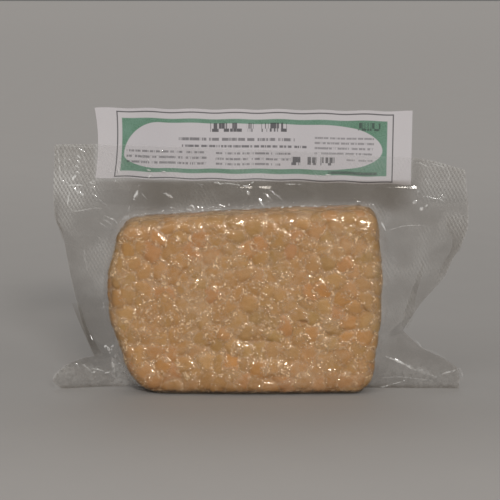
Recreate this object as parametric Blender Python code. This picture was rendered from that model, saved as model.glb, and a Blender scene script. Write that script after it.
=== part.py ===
"""A vacuum-packed tempeh cake: the cake, the clear bag's film round it, and the label in the bag's mouth.

Metres, +Z up. The pack stands upright on its base at z = 0 and faces -Y. The origin is the bottom centre of
its box. The film is drawn tight over the cake, so over the cake's faces the two share one surface. The bag
solid is all the film that stands off the cake: side margins, mouth and the folded ears at the bottom corners.
"""

import math

import bmesh
import bpy
import numpy as np
from mathutils import Vector, noise

# The cake. Each corner is where its two sides would meet, seen from the front: x, z, and its round radius.
CAKE_DEPTH = 0.0260
CAKE_CORNERS = (
    (-0.0642, 0.0000, 0.0205),  # bottom left, worn round
    (-0.0665, 0.0796, 0.0120),  # top left
    (0.0550, 0.0862, 0.0080),  # top right
    (0.0530, 0.0000, 0.0105),  # bottom right
)
SIDE_BULGES = (0.0050, 0.0008, 0.0027, 0.0)  # left, top, right and bottom side, at their middles
OUTLINE_STEP = 0.0004
OUTLINE_SMOOTHING = 0.0050
EDGE_ROUND = 0.0060
FACE_CROWN = 0.0006
FACE_COLUMNS = 38
FACE_ROWS = 26
EDGE_STEPS = 3
RIM_STEPS = 3

# Everything above the foot stands this much higher than the sizes in this file say. The lift grows from
# nothing at the table.
LIFT, LIFT_FULL = 0.0012, 0.0200

# The relief of the packed beans: how wide a bean is, and how deep the crease between two is.
BEAN_WIDTH = 0.0072
BEAN_CREASE = 0.0017
RIM_CREASE_SHARE = 0.3  # of that depth, round the middle of the rim, where the film's web lies
FLAT_BASE = 0.0015
FULL_RELIEF_AT = 0.0060

# The label strip, seen from the front: x and z of its corners.
LABEL_TOP_LEFT = (-0.0764, 0.1319)
LABEL_TOP_RIGHT = (0.0702, 0.1304)
LABEL_BOTTOM_RIGHT = (0.0700, 0.0964)
LABEL_BOTTOM_LEFT = (-0.0767, 0.0994)
LABEL_THICKNESS = 0.0005
LABEL_END_DIP, LABEL_END_POWER = 0.0014, 6  # its left end is hollow; the power keeps that near the end
LABEL_COLUMNS = 30
LABEL_ROWS = 4

# The bag's film. It is thicker than real film, so that it is a solid.
GAP = 0.0003
CAKE_GAP = 0.0005
FILM_HALF = 0.00045
LIP_WALL = 0.00060
WEB_HALF = 0.0040
WEB_REACH = 0.0026
EAR_FOOT_HALF = 0.0038
EAR_FOOT_HEIGHT = 0.0085
WAVE_DEPTH = 0.0014
WAVE_LENGTH = 0.0800
WAVE_FROM, WAVE_FULL = 0.0862, 0.0958  # heights between which the film takes up the label's wave
POCKET_MARGIN, POCKET_EASE = 0.0024, 0.0080  # the film is thick this far past the label, then thins over this

# The bag's edge from ear to ear, as points x, y, z. Each run is a smooth curve through its points.
LEFT_EAR = (
    (-0.0938, -0.0010, 0.0000),
    (-0.0979, -0.0026, 0.0042),
    (-0.0930, -0.0028, 0.0102),
    (-0.0860, -0.0016, 0.0132),
    (-0.0785, 0.0012, 0.0148),
)
LEFT_MARGIN = (
    (-0.0785, 0.0012, 0.0148),
    (-0.0835, 0.0052, 0.0262),
    (-0.0893, 0.0046, 0.0510),
    (-0.0926, 0.0030, 0.0715),
    (-0.0962, 0.0012, 0.0830),
    (-0.0952, 0.0000, 0.1150),
)
MOUTH = (
    (-0.0952, 0.0000, 0.1150),
    (-0.0600, 0.0000, 0.1148),
    (0.0100, 0.0000, 0.1122),
    (0.0650, 0.0000, 0.1092),
    (0.0800, 0.0000, 0.1072),
    (0.0954, 0.0000, 0.1030),
)
RIGHT_MARGIN = (
    (0.0954, 0.0000, 0.1030),
    (0.0974, 0.0016, 0.0770),
    (0.0915, 0.0048, 0.0610),
    (0.0868, 0.0058, 0.0505),
    (0.0760, 0.0046, 0.0385),
    (0.0676, 0.0012, 0.0268),
)
RIGHT_EAR = (
    (0.0676, 0.0012, 0.0268),
    (0.0765, -0.0012, 0.0190),
    (0.0880, -0.0022, 0.0135),
    (0.0938, -0.0030, 0.0090),
    (0.0948, -0.0012, 0.0000),
)
# Where each run starts and ends beside the cake, as shares of the way round it from foot to foot.
RUN_SHARES = (0.0, 0.062, 0.292, 0.708, 0.916, 1.0)
RUN_STATIONS = (8, 13, 34, 13, 8)
ACROSS = (0.0, 0.05, 0.13, 0.27, 0.46, 0.66, 0.84, 1.0)
CURL_POWER = 1.6  # the margins leave the middle plane mostly near their edges
LEFT_FOOT_X, RIGHT_FOOT_X = -0.0535, 0.0450  # where the ears' feet begin under the cake's round corners

TEMPEH = ((0.361, 0.212, 0.109), 0.55, 1.0)
FILM = ((0.80, 0.81, 0.80), 0.12, 0.35)
PAPER = ((0.80, 0.78, 0.78), 0.60, 1.0)


def clear_scene():
    for thing in list(bpy.data.objects):
        bpy.data.objects.remove(thing, do_unlink=True)


def make_material(name, look):
    colour, roughness, alpha = look
    material = bpy.data.materials.new(name)
    material.use_nodes = True
    shader = material.node_tree.nodes["Principled BSDF"]
    shader.inputs["Base Color"].default_value = (*colour, 1.0)
    shader.inputs["Roughness"].default_value = roughness
    shader.inputs["Metallic"].default_value = 0.0
    shader.inputs["Alpha"].default_value = alpha
    material.diffuse_color = (*colour, alpha)
    return material


def add_object(name, mesh_builder, material):
    """Makes an object of a bmesh, with its normals outwards and its faces shaded smooth."""
    for vert in mesh_builder.verts:
        vert.co.z += LIFT * float(smoothstep(0.0, LIFT_FULL, vert.co.z))
    bmesh.ops.recalc_face_normals(mesh_builder, faces=mesh_builder.faces)
    mesh = bpy.data.meshes.new(name)
    mesh_builder.to_mesh(mesh)
    mesh_builder.free()
    mesh.shade_smooth()
    mesh.set_sharp_from_angle(angle=math.radians(50))
    thing = bpy.data.objects.new(name, mesh)
    if material:
        thing.data.materials.append(material)
    bpy.context.scene.collection.objects.link(thing)
    return thing


def smoothstep(low, high, value):
    share = np.clip((value - low) / (high - low), 0.0, 1.0)
    return share * share * (3.0 - 2.0 * share)


def resample(path, count):
    """Points at count + 1 equal steps along an open polyline."""
    lengths = np.concatenate([[0.0], np.cumsum(np.linalg.norm(np.diff(path, axis=0), axis=1))])
    wanted = np.linspace(0.0, lengths[-1], count + 1)
    return np.column_stack([np.interp(wanted, lengths, path[:, k]) for k in range(path.shape[1])])


def smooth_curve(points, steps=24):
    """A Catmull-Rom curve through the points."""
    held = np.array([points[0], *points, points[-1]], float)
    held[0] = 2 * held[1] - held[2]
    held[-1] = 2 * held[-2] - held[-3]
    curve = []
    for a, b, c, d in zip(held, held[1:], held[2:], held[3:]):
        bend, twist = 2 * a - 5 * b + 4 * c - d, 3 * b - a - 3 * c + d
        for t in np.linspace(0.0, 1.0, steps, endpoint=False):
            curve.append(0.5 * (2 * b + (c - a) * t + bend * t**2 + twist * t**3))
    curve.append(held[-2])
    return np.array(curve)


def corner_arc(before, corner, after):
    """The round corner's points (x, z), from the side before it to the side after it."""
    here = np.array(corner[:2])
    radius = corner[2]
    back = np.array(before[:2]) - here
    ahead = np.array(after[:2]) - here
    back /= np.linalg.norm(back)
    ahead /= np.linalg.norm(ahead)
    half_angle = math.acos(float(back @ ahead)) / 2
    middle = (back + ahead) / np.linalg.norm(back + ahead)
    centre = here + middle * radius / math.sin(half_angle)
    reach = radius / math.tan(half_angle)
    start, end = here + back * reach - centre, here + ahead * reach - centre
    turn = math.acos(float(start @ end) / radius**2)
    count = max(2, round(radius * turn / OUTLINE_STEP))
    arc = []
    for t in np.linspace(0.0, 1.0, count + 1):
        arc.append(centre + (start * math.sin((1 - t) * turn) + end * math.sin(t * turn)) / math.sin(turn))
    return np.array(arc)


def bowed_side(start, end, bulge):
    """The points between two corners' arcs, bowed outwards."""
    along = end - start
    outward = np.array([-along[1], along[0]]) / np.linalg.norm(along)
    count = round(float(np.linalg.norm(along)) / OUTLINE_STEP)
    shares = np.linspace(0.0, 1.0, count + 1)[1:-1]
    return start + shares[:, None] * along + (bulge * 4 * shares * (1 - shares))[:, None] * outward


def cake_outline():
    """The cake's closed outline at mid-depth, clockwise from the middle of the bottom side, as x and z."""
    count = len(CAKE_CORNERS)
    arcs = [
        corner_arc(CAKE_CORNERS[k - 1], CAKE_CORNERS[k], CAKE_CORNERS[(k + 1) % count]) for k in range(count)
    ]
    path = []
    for k in range(count):
        following = arcs[(k + 1) % count]
        path.extend([arcs[k], bowed_side(arcs[k][-1], following[0], SIDE_BULGES[k])])
    path = np.concatenate(path)
    window = round(OUTLINE_SMOOTHING / OUTLINE_STEP)
    kernel = np.ones(window) / window
    around = np.concatenate([path[-window:], path, path[:window]])
    path = np.column_stack([np.convolve(around[:, k], kernel, "same")[window:-window] for k in (0, 1)])
    path[:, 1] -= path[:, 1].min()
    middle = (CAKE_CORNERS[0][0] + CAKE_CORNERS[3][0]) / 2
    low = np.where(path[:, 1] < FLAT_BASE)[0]
    first = low[np.argmin(np.abs(path[low, 0] - middle))]
    return np.roll(path, -first, axis=0)


def offset(path, distance):
    """A closed outline moved outwards by a distance."""
    along = np.roll(path, -1, axis=0) - np.roll(path, 1, axis=0)
    along /= np.linalg.norm(along, axis=1)[:, None]
    return path + distance * np.column_stack([-along[:, 1], along[:, 0]])


def outline_sides(outline):
    """The outline as four open paths between the middles of its corners: left, top, right, bottom."""
    marks = []
    for x, z, _ in CAKE_CORNERS:
        marks.append(int(np.argmin(np.hypot(outline[:, 0] - x, outline[:, 1] - z))))
    sides = []
    for k in range(4):
        start, end = marks[k], marks[(k + 1) % 4]
        picked = np.arange(start, end + 1 if end > start else end + 1 + len(outline)) % len(outline)
        sides.append(outline[picked])
    return sides


def ring_at(outline, inset):
    """The stations round the cake, on its outline moved inwards by the inset."""
    ring = []
    for side, count in zip(outline_sides(outline), (FACE_ROWS, FACE_COLUMNS) * 2):
        ring.append(resample(side, count)[:-1])
    stations = np.concatenate(ring)
    along = np.roll(stations, -1, axis=0) - np.roll(stations, 1, axis=0)
    along /= np.linalg.norm(along, axis=1)[:, None]
    return stations - inset * np.column_stack([-along[:, 1], along[:, 0]])


def face_grid(ring):
    """A grid of points that fills the ring, rows from the bottom up, each from left to right."""
    left = ring[: FACE_ROWS + 1]
    top = ring[FACE_ROWS : FACE_ROWS + FACE_COLUMNS + 1]
    turn = FACE_ROWS + FACE_COLUMNS
    right = ring[turn : turn + FACE_ROWS + 1][::-1]
    bottom = np.concatenate([ring[turn + FACE_ROWS :], ring[:1]])[::-1]
    u = np.linspace(0.0, 1.0, FACE_COLUMNS + 1)[None, :, None]
    v = np.linspace(0.0, 1.0, FACE_ROWS + 1)[:, None, None]
    sides = (1 - v) * bottom[None] + v * top[None] + (1 - u) * left[:, None] + u * right[:, None]
    corners = (1 - v) * ((1 - u) * bottom[0] + u * bottom[-1]) + v * ((1 - u) * top[0] + u * top[-1])
    return sides - corners


def crown(row, column):
    u, v = column / FACE_COLUMNS, row / FACE_ROWS
    return FACE_CROWN * 16 * u * (1 - u) * v * (1 - v)


def relief(place):
    """How far the surface lies below the beans' tops: a crease runs round each bean."""
    nearest = noise.voronoi(Vector(place) / BEAN_WIDTH)[0][0]
    crease = min(nearest / 0.75, 1.0) ** 2 * BEAN_CREASE
    out_of_rim = float(smoothstep(WEB_HALF, CAKE_DEPTH / 2 - EDGE_ROUND / 3, abs(place[1])))
    crease *= RIM_CREASE_SHARE + (1 - RIM_CREASE_SHARE) * out_of_rim
    return crease * float(smoothstep(FLAT_BASE, FULL_RELIEF_AT, place[2]))


def build_cake(material):
    """Two gridded faces joined by a rounded rim, all pressed in between the beans."""
    outline = cake_outline()
    body = bmesh.new()
    half = CAKE_DEPTH / 2 - FACE_CROWN
    rows = []
    for side in (-1, 1):
        profile = []
        for step in range(EDGE_STEPS + 1):
            angle = math.pi / 2 * step / EDGE_STEPS
            depth = half - EDGE_ROUND * (1 - math.cos(angle))
            profile.append((EDGE_ROUND * (1 - math.sin(angle)), side * depth))
        rows.append(profile)
    flats = np.linspace(rows[0][-1][1], rows[1][-1][1], RIM_STEPS + 1)[1:-1]
    levels = rows[0] + [(0.0, y) for y in flats] + rows[1][::-1]
    rings = []
    for inset, y in levels:
        rings.append([body.verts.new((x, y, z)) for x, z in ring_at(outline, inset)])
    count = len(rings[0])
    for near, far in zip(rings, rings[1:]):
        for k in range(count):
            following = (k + 1) % count
            body.faces.new((near[k], near[following], far[following], far[k]))
    for side, ring in ((-1, rings[0]), (1, rings[-1])):
        fill_face(body, ring, face_grid(ring_at(outline, EDGE_ROUND)), side, half)
    bmesh.ops.recalc_face_normals(body, faces=body.faces)
    body.normal_update()
    moves = [(vert, vert.normal * -relief(vert.co)) for vert in body.verts]
    for vert, move in moves:
        vert.co += move
    for vert in body.verts:
        vert.co.z = max(vert.co.z, 0.0)
    return add_object("tempeh_cake", body, material)


def fill_face(body, ring, grid, side, half):
    """Fills a rim's ring with a grid of faces whose edge points are the ring's own."""
    turn = FACE_ROWS + FACE_COLUMNS
    points = {}
    for row in range(FACE_ROWS + 1):
        for column in range(FACE_COLUMNS + 1):
            if column == 0:
                points[row, column] = ring[row]
            elif row == FACE_ROWS:
                points[row, column] = ring[FACE_ROWS + column]
            elif column == FACE_COLUMNS:
                points[row, column] = ring[turn + FACE_ROWS - row]
            elif row == 0:
                points[row, column] = ring[(2 * turn - column) % len(ring)]
            else:
                x, z = grid[row, column]
                points[row, column] = body.verts.new((x, side * (half + crown(row, column)), z))
    for row in range(FACE_ROWS):
        for column in range(FACE_COLUMNS):
            places = ((row, column), (row, column + 1), (row + 1, column + 1), (row + 1, column))
            quad = [points[place] for place in places]
            body.faces.new(quad if side < 0 else quad[::-1])


def wave(x, z):
    """How far the label, and the film that holds it, lie behind the bag's middle plane."""
    swing = math.sin(2 * math.pi * x / WAVE_LENGTH + 0.7) + 0.35 * math.sin(4.6 * math.pi * x / WAVE_LENGTH)
    return WAVE_DEPTH * swing * float(smoothstep(WAVE_FROM, WAVE_FULL, z))


def label_slab(name, grow, material):
    """The label as a closed wavy strip. Grown all round, it cuts the label's pocket."""
    lower = [np.array(point) for point in (LABEL_BOTTOM_LEFT, LABEL_BOTTOM_RIGHT)]
    upper = [np.array(point) for point in (LABEL_TOP_LEFT, LABEL_TOP_RIGHT)]
    half = LABEL_THICKNESS / 2 + grow
    body = bmesh.new()
    sheets = []
    for side in (-1, 1):
        sheet = []
        for row in range(LABEL_ROWS + 1):
            v = row / LABEL_ROWS
            line = []
            for column in range(LABEL_COLUMNS + 1):
                u = column / LABEL_COLUMNS
                low = lower[0] + u * (lower[1] - lower[0])
                high = upper[0] + u * (upper[1] - upper[0])
                x, z = low + v * (high - low)
                x += LABEL_END_DIP * 4 * v * (1 - v) * (1 - u) ** LABEL_END_POWER + grow * (2 * u - 1)
                z -= grow * (1 - v)
                line.append(body.verts.new((x, wave(x, z) + side * half, z)))
            sheet.append(line)
        sheets.append(sheet)
    close_sheets(body, sheets)
    return add_object(name, body, material)


def close_sheets(body, sheets):
    """Joins a front and a back grid of points into one closed body."""
    front, back = sheets
    last_row, last_column = len(front) - 1, len(front[0]) - 1

    def add_quad(*points):
        body.faces.new(points)

    for row in range(last_row):
        for column in range(last_column):
            for sheet in (front, back):
                near, far = sheet[row], sheet[row + 1]
                add_quad(near[column], near[column + 1], far[column + 1], far[column])
    for row in (0, last_row):
        for i in range(last_column):
            add_quad(front[row][i], front[row][i + 1], back[row][i + 1], back[row][i])
    for column in (0, last_column):
        for i in range(last_row):
            add_quad(front[i][column], front[i + 1][column], back[i + 1][column], back[i][column])


def film_inner_path():
    """The line round the cake that the film starts from, from the left ear's foot over the top."""
    path = offset(cake_outline(), CAKE_GAP)
    left, right = (int(np.argmin(np.hypot(path[:, 0] - x, path[:, 1]))) for x in (LEFT_FOOT_X, RIGHT_FOOT_X))
    return path[left : right + 1]


def film_stations():
    """Pairs of points from the cake to the bag's edge, as x, y, z, from ear to ear."""
    inner = film_inner_path()
    runs = (LEFT_EAR, LEFT_MARGIN, MOUTH, RIGHT_MARGIN, RIGHT_EAR)
    pairs = []
    for k, (run, count) in enumerate(zip(runs, RUN_STATIONS)):
        start, end = (round(share * (len(inner) - 1)) for share in RUN_SHARES[k : k + 2])
        near = resample(inner[start : end + 1], count)
        far = resample(smooth_curve(run), count)
        near = np.column_stack([near[:, 0], np.zeros(count + 1), near[:, 1]])
        last = count + 1 if k == len(runs) - 1 else count
        pairs.extend((near[i], far[i]) for i in range(last))
    return pairs


def film_half(place, from_cake, ear):
    """Half the film's thickness: thick where it wraps the cake, holds the label or forms an ear's foot."""
    x, _, z = place
    half = FILM_HALF + WEB_HALF * math.exp(-((from_cake / WEB_REACH) ** 2))
    pocket = LABEL_THICKNESS / 2 + GAP + LIP_WALL
    left, right = LABEL_TOP_LEFT[0] - POCKET_MARGIN, LABEL_TOP_RIGHT[0] + POCKET_MARGIN
    foot = LABEL_BOTTOM_RIGHT[1] - POCKET_MARGIN
    share = smoothstep(left - POCKET_EASE, left, x) * smoothstep(foot - POCKET_EASE / 2, foot, z)
    share *= 1 - smoothstep(right, right + POCKET_EASE, x)
    half = max(half, FILM_HALF + (pocket - FILM_HALF) * float(share))
    return max(half, FILM_HALF + EAR_FOOT_HALF * ear * max(0.0, 1 - z / EAR_FOOT_HEIGHT))


def build_bag(material):
    """The film from ear to ear round the cake, with the label's pocket cut into its mouth."""
    pairs = film_stations()
    body = bmesh.new()
    front, back = [], []
    for k, (near, far) in enumerate(pairs):
        to_end = min(k, len(pairs) - 1 - k)
        ear = max(0.0, 1 - to_end / (RUN_STATIONS[0] + 2))
        reach = float(np.linalg.norm(far - near))
        front_line, back_line = [], []
        for share in ACROSS:
            x, _, z = near + share * (far - near)
            z = 0.0 if to_end == 0 else z
            y = far[1] * share**CURL_POWER + wave(x, z)
            half = film_half((x, y, z), share * reach, ear)
            front_line.append(body.verts.new((x, y - half, z)))
            back_line.append(body.verts.new((x, y + half, z)))
        front.append(front_line)
        back.append(back_line)
    close_sheets(body, (front, back))
    bag = add_object("vacuum_bag", body, material)
    pocket = label_slab("pocket_cutter", GAP, None)
    pocket.hide_render = True
    pocket.display_type = "WIRE"
    cut = bag.modifiers.new("label_pocket", "BOOLEAN")
    cut.operation = "DIFFERENCE"
    cut.solver = "EXACT"
    cut.object = pocket
    return bag


def main():
    clear_scene()
    build_cake(make_material("tempeh", TEMPEH))
    build_bag(make_material("clear_film", FILM))
    label_slab("label_card", 0.0, make_material("label_paper", PAPER))


main()
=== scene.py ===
"""The looks of a vacuum-packed tempeh cake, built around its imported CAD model.

Metres, +Z up, and the pack's front faces -Y. The cake is one pressed mass of soybeans, drawn tight in a clear
embossed bag. The bag is a front and a back film that wrap the cake, meet in its margins and hold a printed
paper label in its mouth, with folded corners at its foot.
"""

import logging
import math
from dataclasses import dataclass
from enum import Enum

import bpy
import numpy as np
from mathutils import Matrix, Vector


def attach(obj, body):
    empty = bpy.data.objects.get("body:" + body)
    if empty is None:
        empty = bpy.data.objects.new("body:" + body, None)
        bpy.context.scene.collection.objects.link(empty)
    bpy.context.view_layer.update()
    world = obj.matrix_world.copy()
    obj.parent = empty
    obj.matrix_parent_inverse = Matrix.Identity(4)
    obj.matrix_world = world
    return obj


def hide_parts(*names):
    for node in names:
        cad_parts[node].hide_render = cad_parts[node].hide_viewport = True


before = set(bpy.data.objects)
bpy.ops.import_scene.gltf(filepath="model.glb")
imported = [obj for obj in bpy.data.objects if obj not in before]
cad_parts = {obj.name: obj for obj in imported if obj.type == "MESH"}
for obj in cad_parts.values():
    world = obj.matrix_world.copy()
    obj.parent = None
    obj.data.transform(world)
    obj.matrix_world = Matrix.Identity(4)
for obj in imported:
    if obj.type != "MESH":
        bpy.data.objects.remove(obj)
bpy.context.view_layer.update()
LOG = logging.getLogger("tempeh_pack")
LIFT, LIFT_FULL = 0.0012, 0.0200  # everything above the foot stands this much higher than the sizes below say

Array = np.ndarray
Rgb = tuple[int, int, int]
Colour = tuple[float, float, float]
Socket = bpy.types.NodeSocket
Value = bpy.types.NodeSocket | float | tuple


class Side(Enum):
    """The pack's two faces, by the sign of Y."""

    FRONT = -1
    BACK = 1


# ---------------------------------------------------------------- numbers and small tools


def smoothstep(low: float, high: float, value: Array | float) -> Array:
    """Rises smoothly from 0 at low to 1 at high.

    Args:
        low: where the rise starts.
        high: where it ends.
        value: the number or array to judge.

    Returns:
        The share, between 0 and 1.
    """
    share = np.clip((value - low) / (high - low), 0.0, 1.0)
    return share * share * (3.0 - 2.0 * share)


def plateau(start: float, full: float, fade: float, end: float, value: Array) -> Array:
    """Rises smoothly from 0 at start to 1 at full, and falls from fade back to 0 at end."""
    return smoothstep(start, full, value) * (1 - smoothstep(fade, end, value))


def resample(path: Array, count: int) -> Array:
    """Takes count + 1 points at equal steps along an open polyline."""
    lengths = np.concatenate([[0.0], np.cumsum(np.linalg.norm(np.diff(path, axis=0), axis=1))])
    wanted = np.linspace(0.0, lengths[-1], count + 1)
    return np.column_stack([np.interp(wanted, lengths, path[:, k]) for k in range(path.shape[1])])


def smooth_curve(points: tuple, steps: int = 24) -> Array:
    """Draws a Catmull-Rom curve through the points.

    Args:
        points: two or more points of any dimension.
        steps: pieces between two neighbouring points.

    Returns:
        The curve's points, one row each.
    """
    held = np.array([points[0], *points, points[-1]], float)
    held[0] = 2 * held[1] - held[2]
    held[-1] = 2 * held[-2] - held[-3]
    curve = []
    for a, b, c, d in zip(held, held[1:], held[2:], held[3:]):
        for t in np.linspace(0.0, 1.0, steps, endpoint=False):
            square = (2 * a - 5 * b + 4 * c - d) * t**2
            cube = (3 * b - a - 3 * c + d) * t**3
            curve.append(0.5 * (2 * b + (c - a) * t + square + cube))
    curve.append(held[-2])
    return np.array(curve)


def lattice_noise(points: Array, size: float, seed: int) -> Array:
    """Smooth repeatable noise in space.

    Args:
        points: places, one row each, in metres.
        size: the width of the noise's lumps, in metres.
        seed: which noise.

    Returns:
        A value between -1 and 1 for each place.
    """
    table = np.random.default_rng(seed).uniform(-1.0, 1.0, (32, 32, 32))
    scaled = points / size + 7.31 * seed
    cell = np.floor(scaled).astype(int)
    part = scaled - cell
    part = part * part * (3 - 2 * part)
    total = np.zeros(len(points))
    for corner in np.ndindex(2, 2, 2):
        weight = np.prod(np.where(np.array(corner), part, 1 - part), axis=1)
        index = (cell + corner) % 32
        total += weight * table[index[:, 0], index[:, 1], index[:, 2]]
    return total


def distance_to_path(points: Array, path: Array) -> Array:
    """How far points lie from a polyline.

    Args:
        points: the points, one row of two each.
        path: the line's points, likewise.

    Returns:
        A distance for each point.
    """
    best = np.full(len(points), 1e9)
    for start, step in zip(path, np.diff(path, axis=0)):
        share = np.clip(((points - start) @ step) / max(float(step @ step), 1e-12), 0.0, 1.0)
        best = np.minimum(best, np.linalg.norm(points - start - share[:, None] * step, axis=1))
    return best


def mesh_normals(points: Array, quads: Array) -> Array:
    """The unit normal at every point of a mesh.

    Args:
        points: the mesh's points.
        quads: four point numbers a face.

    Returns:
        One row for each point.
    """
    across = points[quads[:, 2]] - points[quads[:, 0]]
    up = points[quads[:, 3]] - points[quads[:, 1]]
    faces = np.cross(across, up)
    normals = np.zeros_like(points)
    for k in range(4):
        np.add.at(normals, quads[:, k], faces)
    return normals / np.maximum(np.linalg.norm(normals, axis=1), 1e-12)[:, None]


def grid_quads(numbers: Array, turned: bool = False) -> Array:
    """The faces of a grid.

    Args:
        numbers: its point numbers, row by row.
        turned: whether the faces look the other way.

    Returns:
        Four point numbers a face.
    """
    corners = [numbers[:-1, :-1], numbers[:-1, 1:], numbers[1:, 1:], numbers[1:, :-1]]
    return np.stack(corners[::-1] if turned else corners, axis=-1).reshape(-1, 4)


def paint(mesh: bpy.types.Mesh, label: str, values: Array) -> None:
    """Stores three values from 0 to 1 on each point of a mesh, for its material to read."""
    layer = mesh.color_attributes.new(label, "FLOAT_COLOR", "POINT")
    filled = np.concatenate([values, np.ones((len(values), 1))], axis=1)
    layer.data.foreach_set("color", filled.astype(np.float32).ravel())


def flat_sheet(name: str, columns: int, rows: int) -> tuple[bpy.types.Object, Array, Array]:
    """Adds a flat grid, to be laid out as a sheet.

    Args:
        name: the piece's name.
        columns: how many points it has across.
        rows: how many it has up.

    Returns:
        The object, and how far across and how far up each of its points lies, from 0 to 1.
    """
    bpy.ops.object.select_all(action="DESELECT")
    bpy.ops.mesh.primitive_grid_add(x_subdivisions=columns, y_subdivisions=rows, size=1.0)
    sheet = bpy.context.object
    sheet.name = sheet.data.name = name
    flat = np.zeros(len(sheet.data.vertices) * 3)
    sheet.data.vertices.foreach_get("co", flat)
    return sheet, flat[0::3] + 0.5, flat[1::3] + 0.5


def make_piece(name: str, points: Array, quads: Array, marks: dict[str, Array]) -> bpy.types.Object:
    """Makes a smooth-shaded object at the origin from points and quads.

    Args:
        name: the piece's name.
        points: its vertices, in metres.
        quads: four vertex numbers a face, counter-clockwise seen from outside.
        marks: values from 0 to 1 that the piece's material reads, three columns each, by attribute name.

    Returns:
        The object.
    """
    mesh = bpy.data.meshes.new(name)
    mesh.from_pydata(points.tolist(), [], quads.tolist())
    mesh.validate()
    for label, values in marks.items():
        paint(mesh, label, values)
    mesh.shade_smooth()
    piece = bpy.data.objects.new(name, mesh)
    bpy.context.scene.collection.objects.link(piece)
    return piece


def settle(piece: bpy.types.Object, slot: str, *nodes: str) -> None:
    """Lifts a finished piece as the CAD's are, ties it to the frame and reports it.

    Args:
        piece: the object.
        slot: the record's material slot that it stands for, which the log shows.
        nodes: the CAD nodes that it stands for.
    """
    points = np.zeros(len(piece.data.vertices) * 3, np.float32)
    piece.data.vertices.foreach_get("co", points)
    points[2::3] += LIFT * smoothstep(0.0, LIFT_FULL, points[2::3])
    piece.data.vertices.foreach_set("co", points)
    piece.data.update()
    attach(piece, "root")
    if nodes:
        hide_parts(*nodes)
    piece.data.calc_loop_triangles()
    LOG.info("%s: %d triangles, slot %s", piece.name, len(piece.data.loop_triangles), slot)


# ---------------------------------------------------------------- the cake's form


@dataclass
class Shell:
    """A closed skin of quads round the cake, in rows that the film follows too."""

    points: Array
    quads: Array
    rings: Array  # point numbers of each ring round the cake, from the front face's edge to the back face's
    faces: dict[Side, Array]  # point numbers of each face's grid, rows from the bottom up


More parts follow.
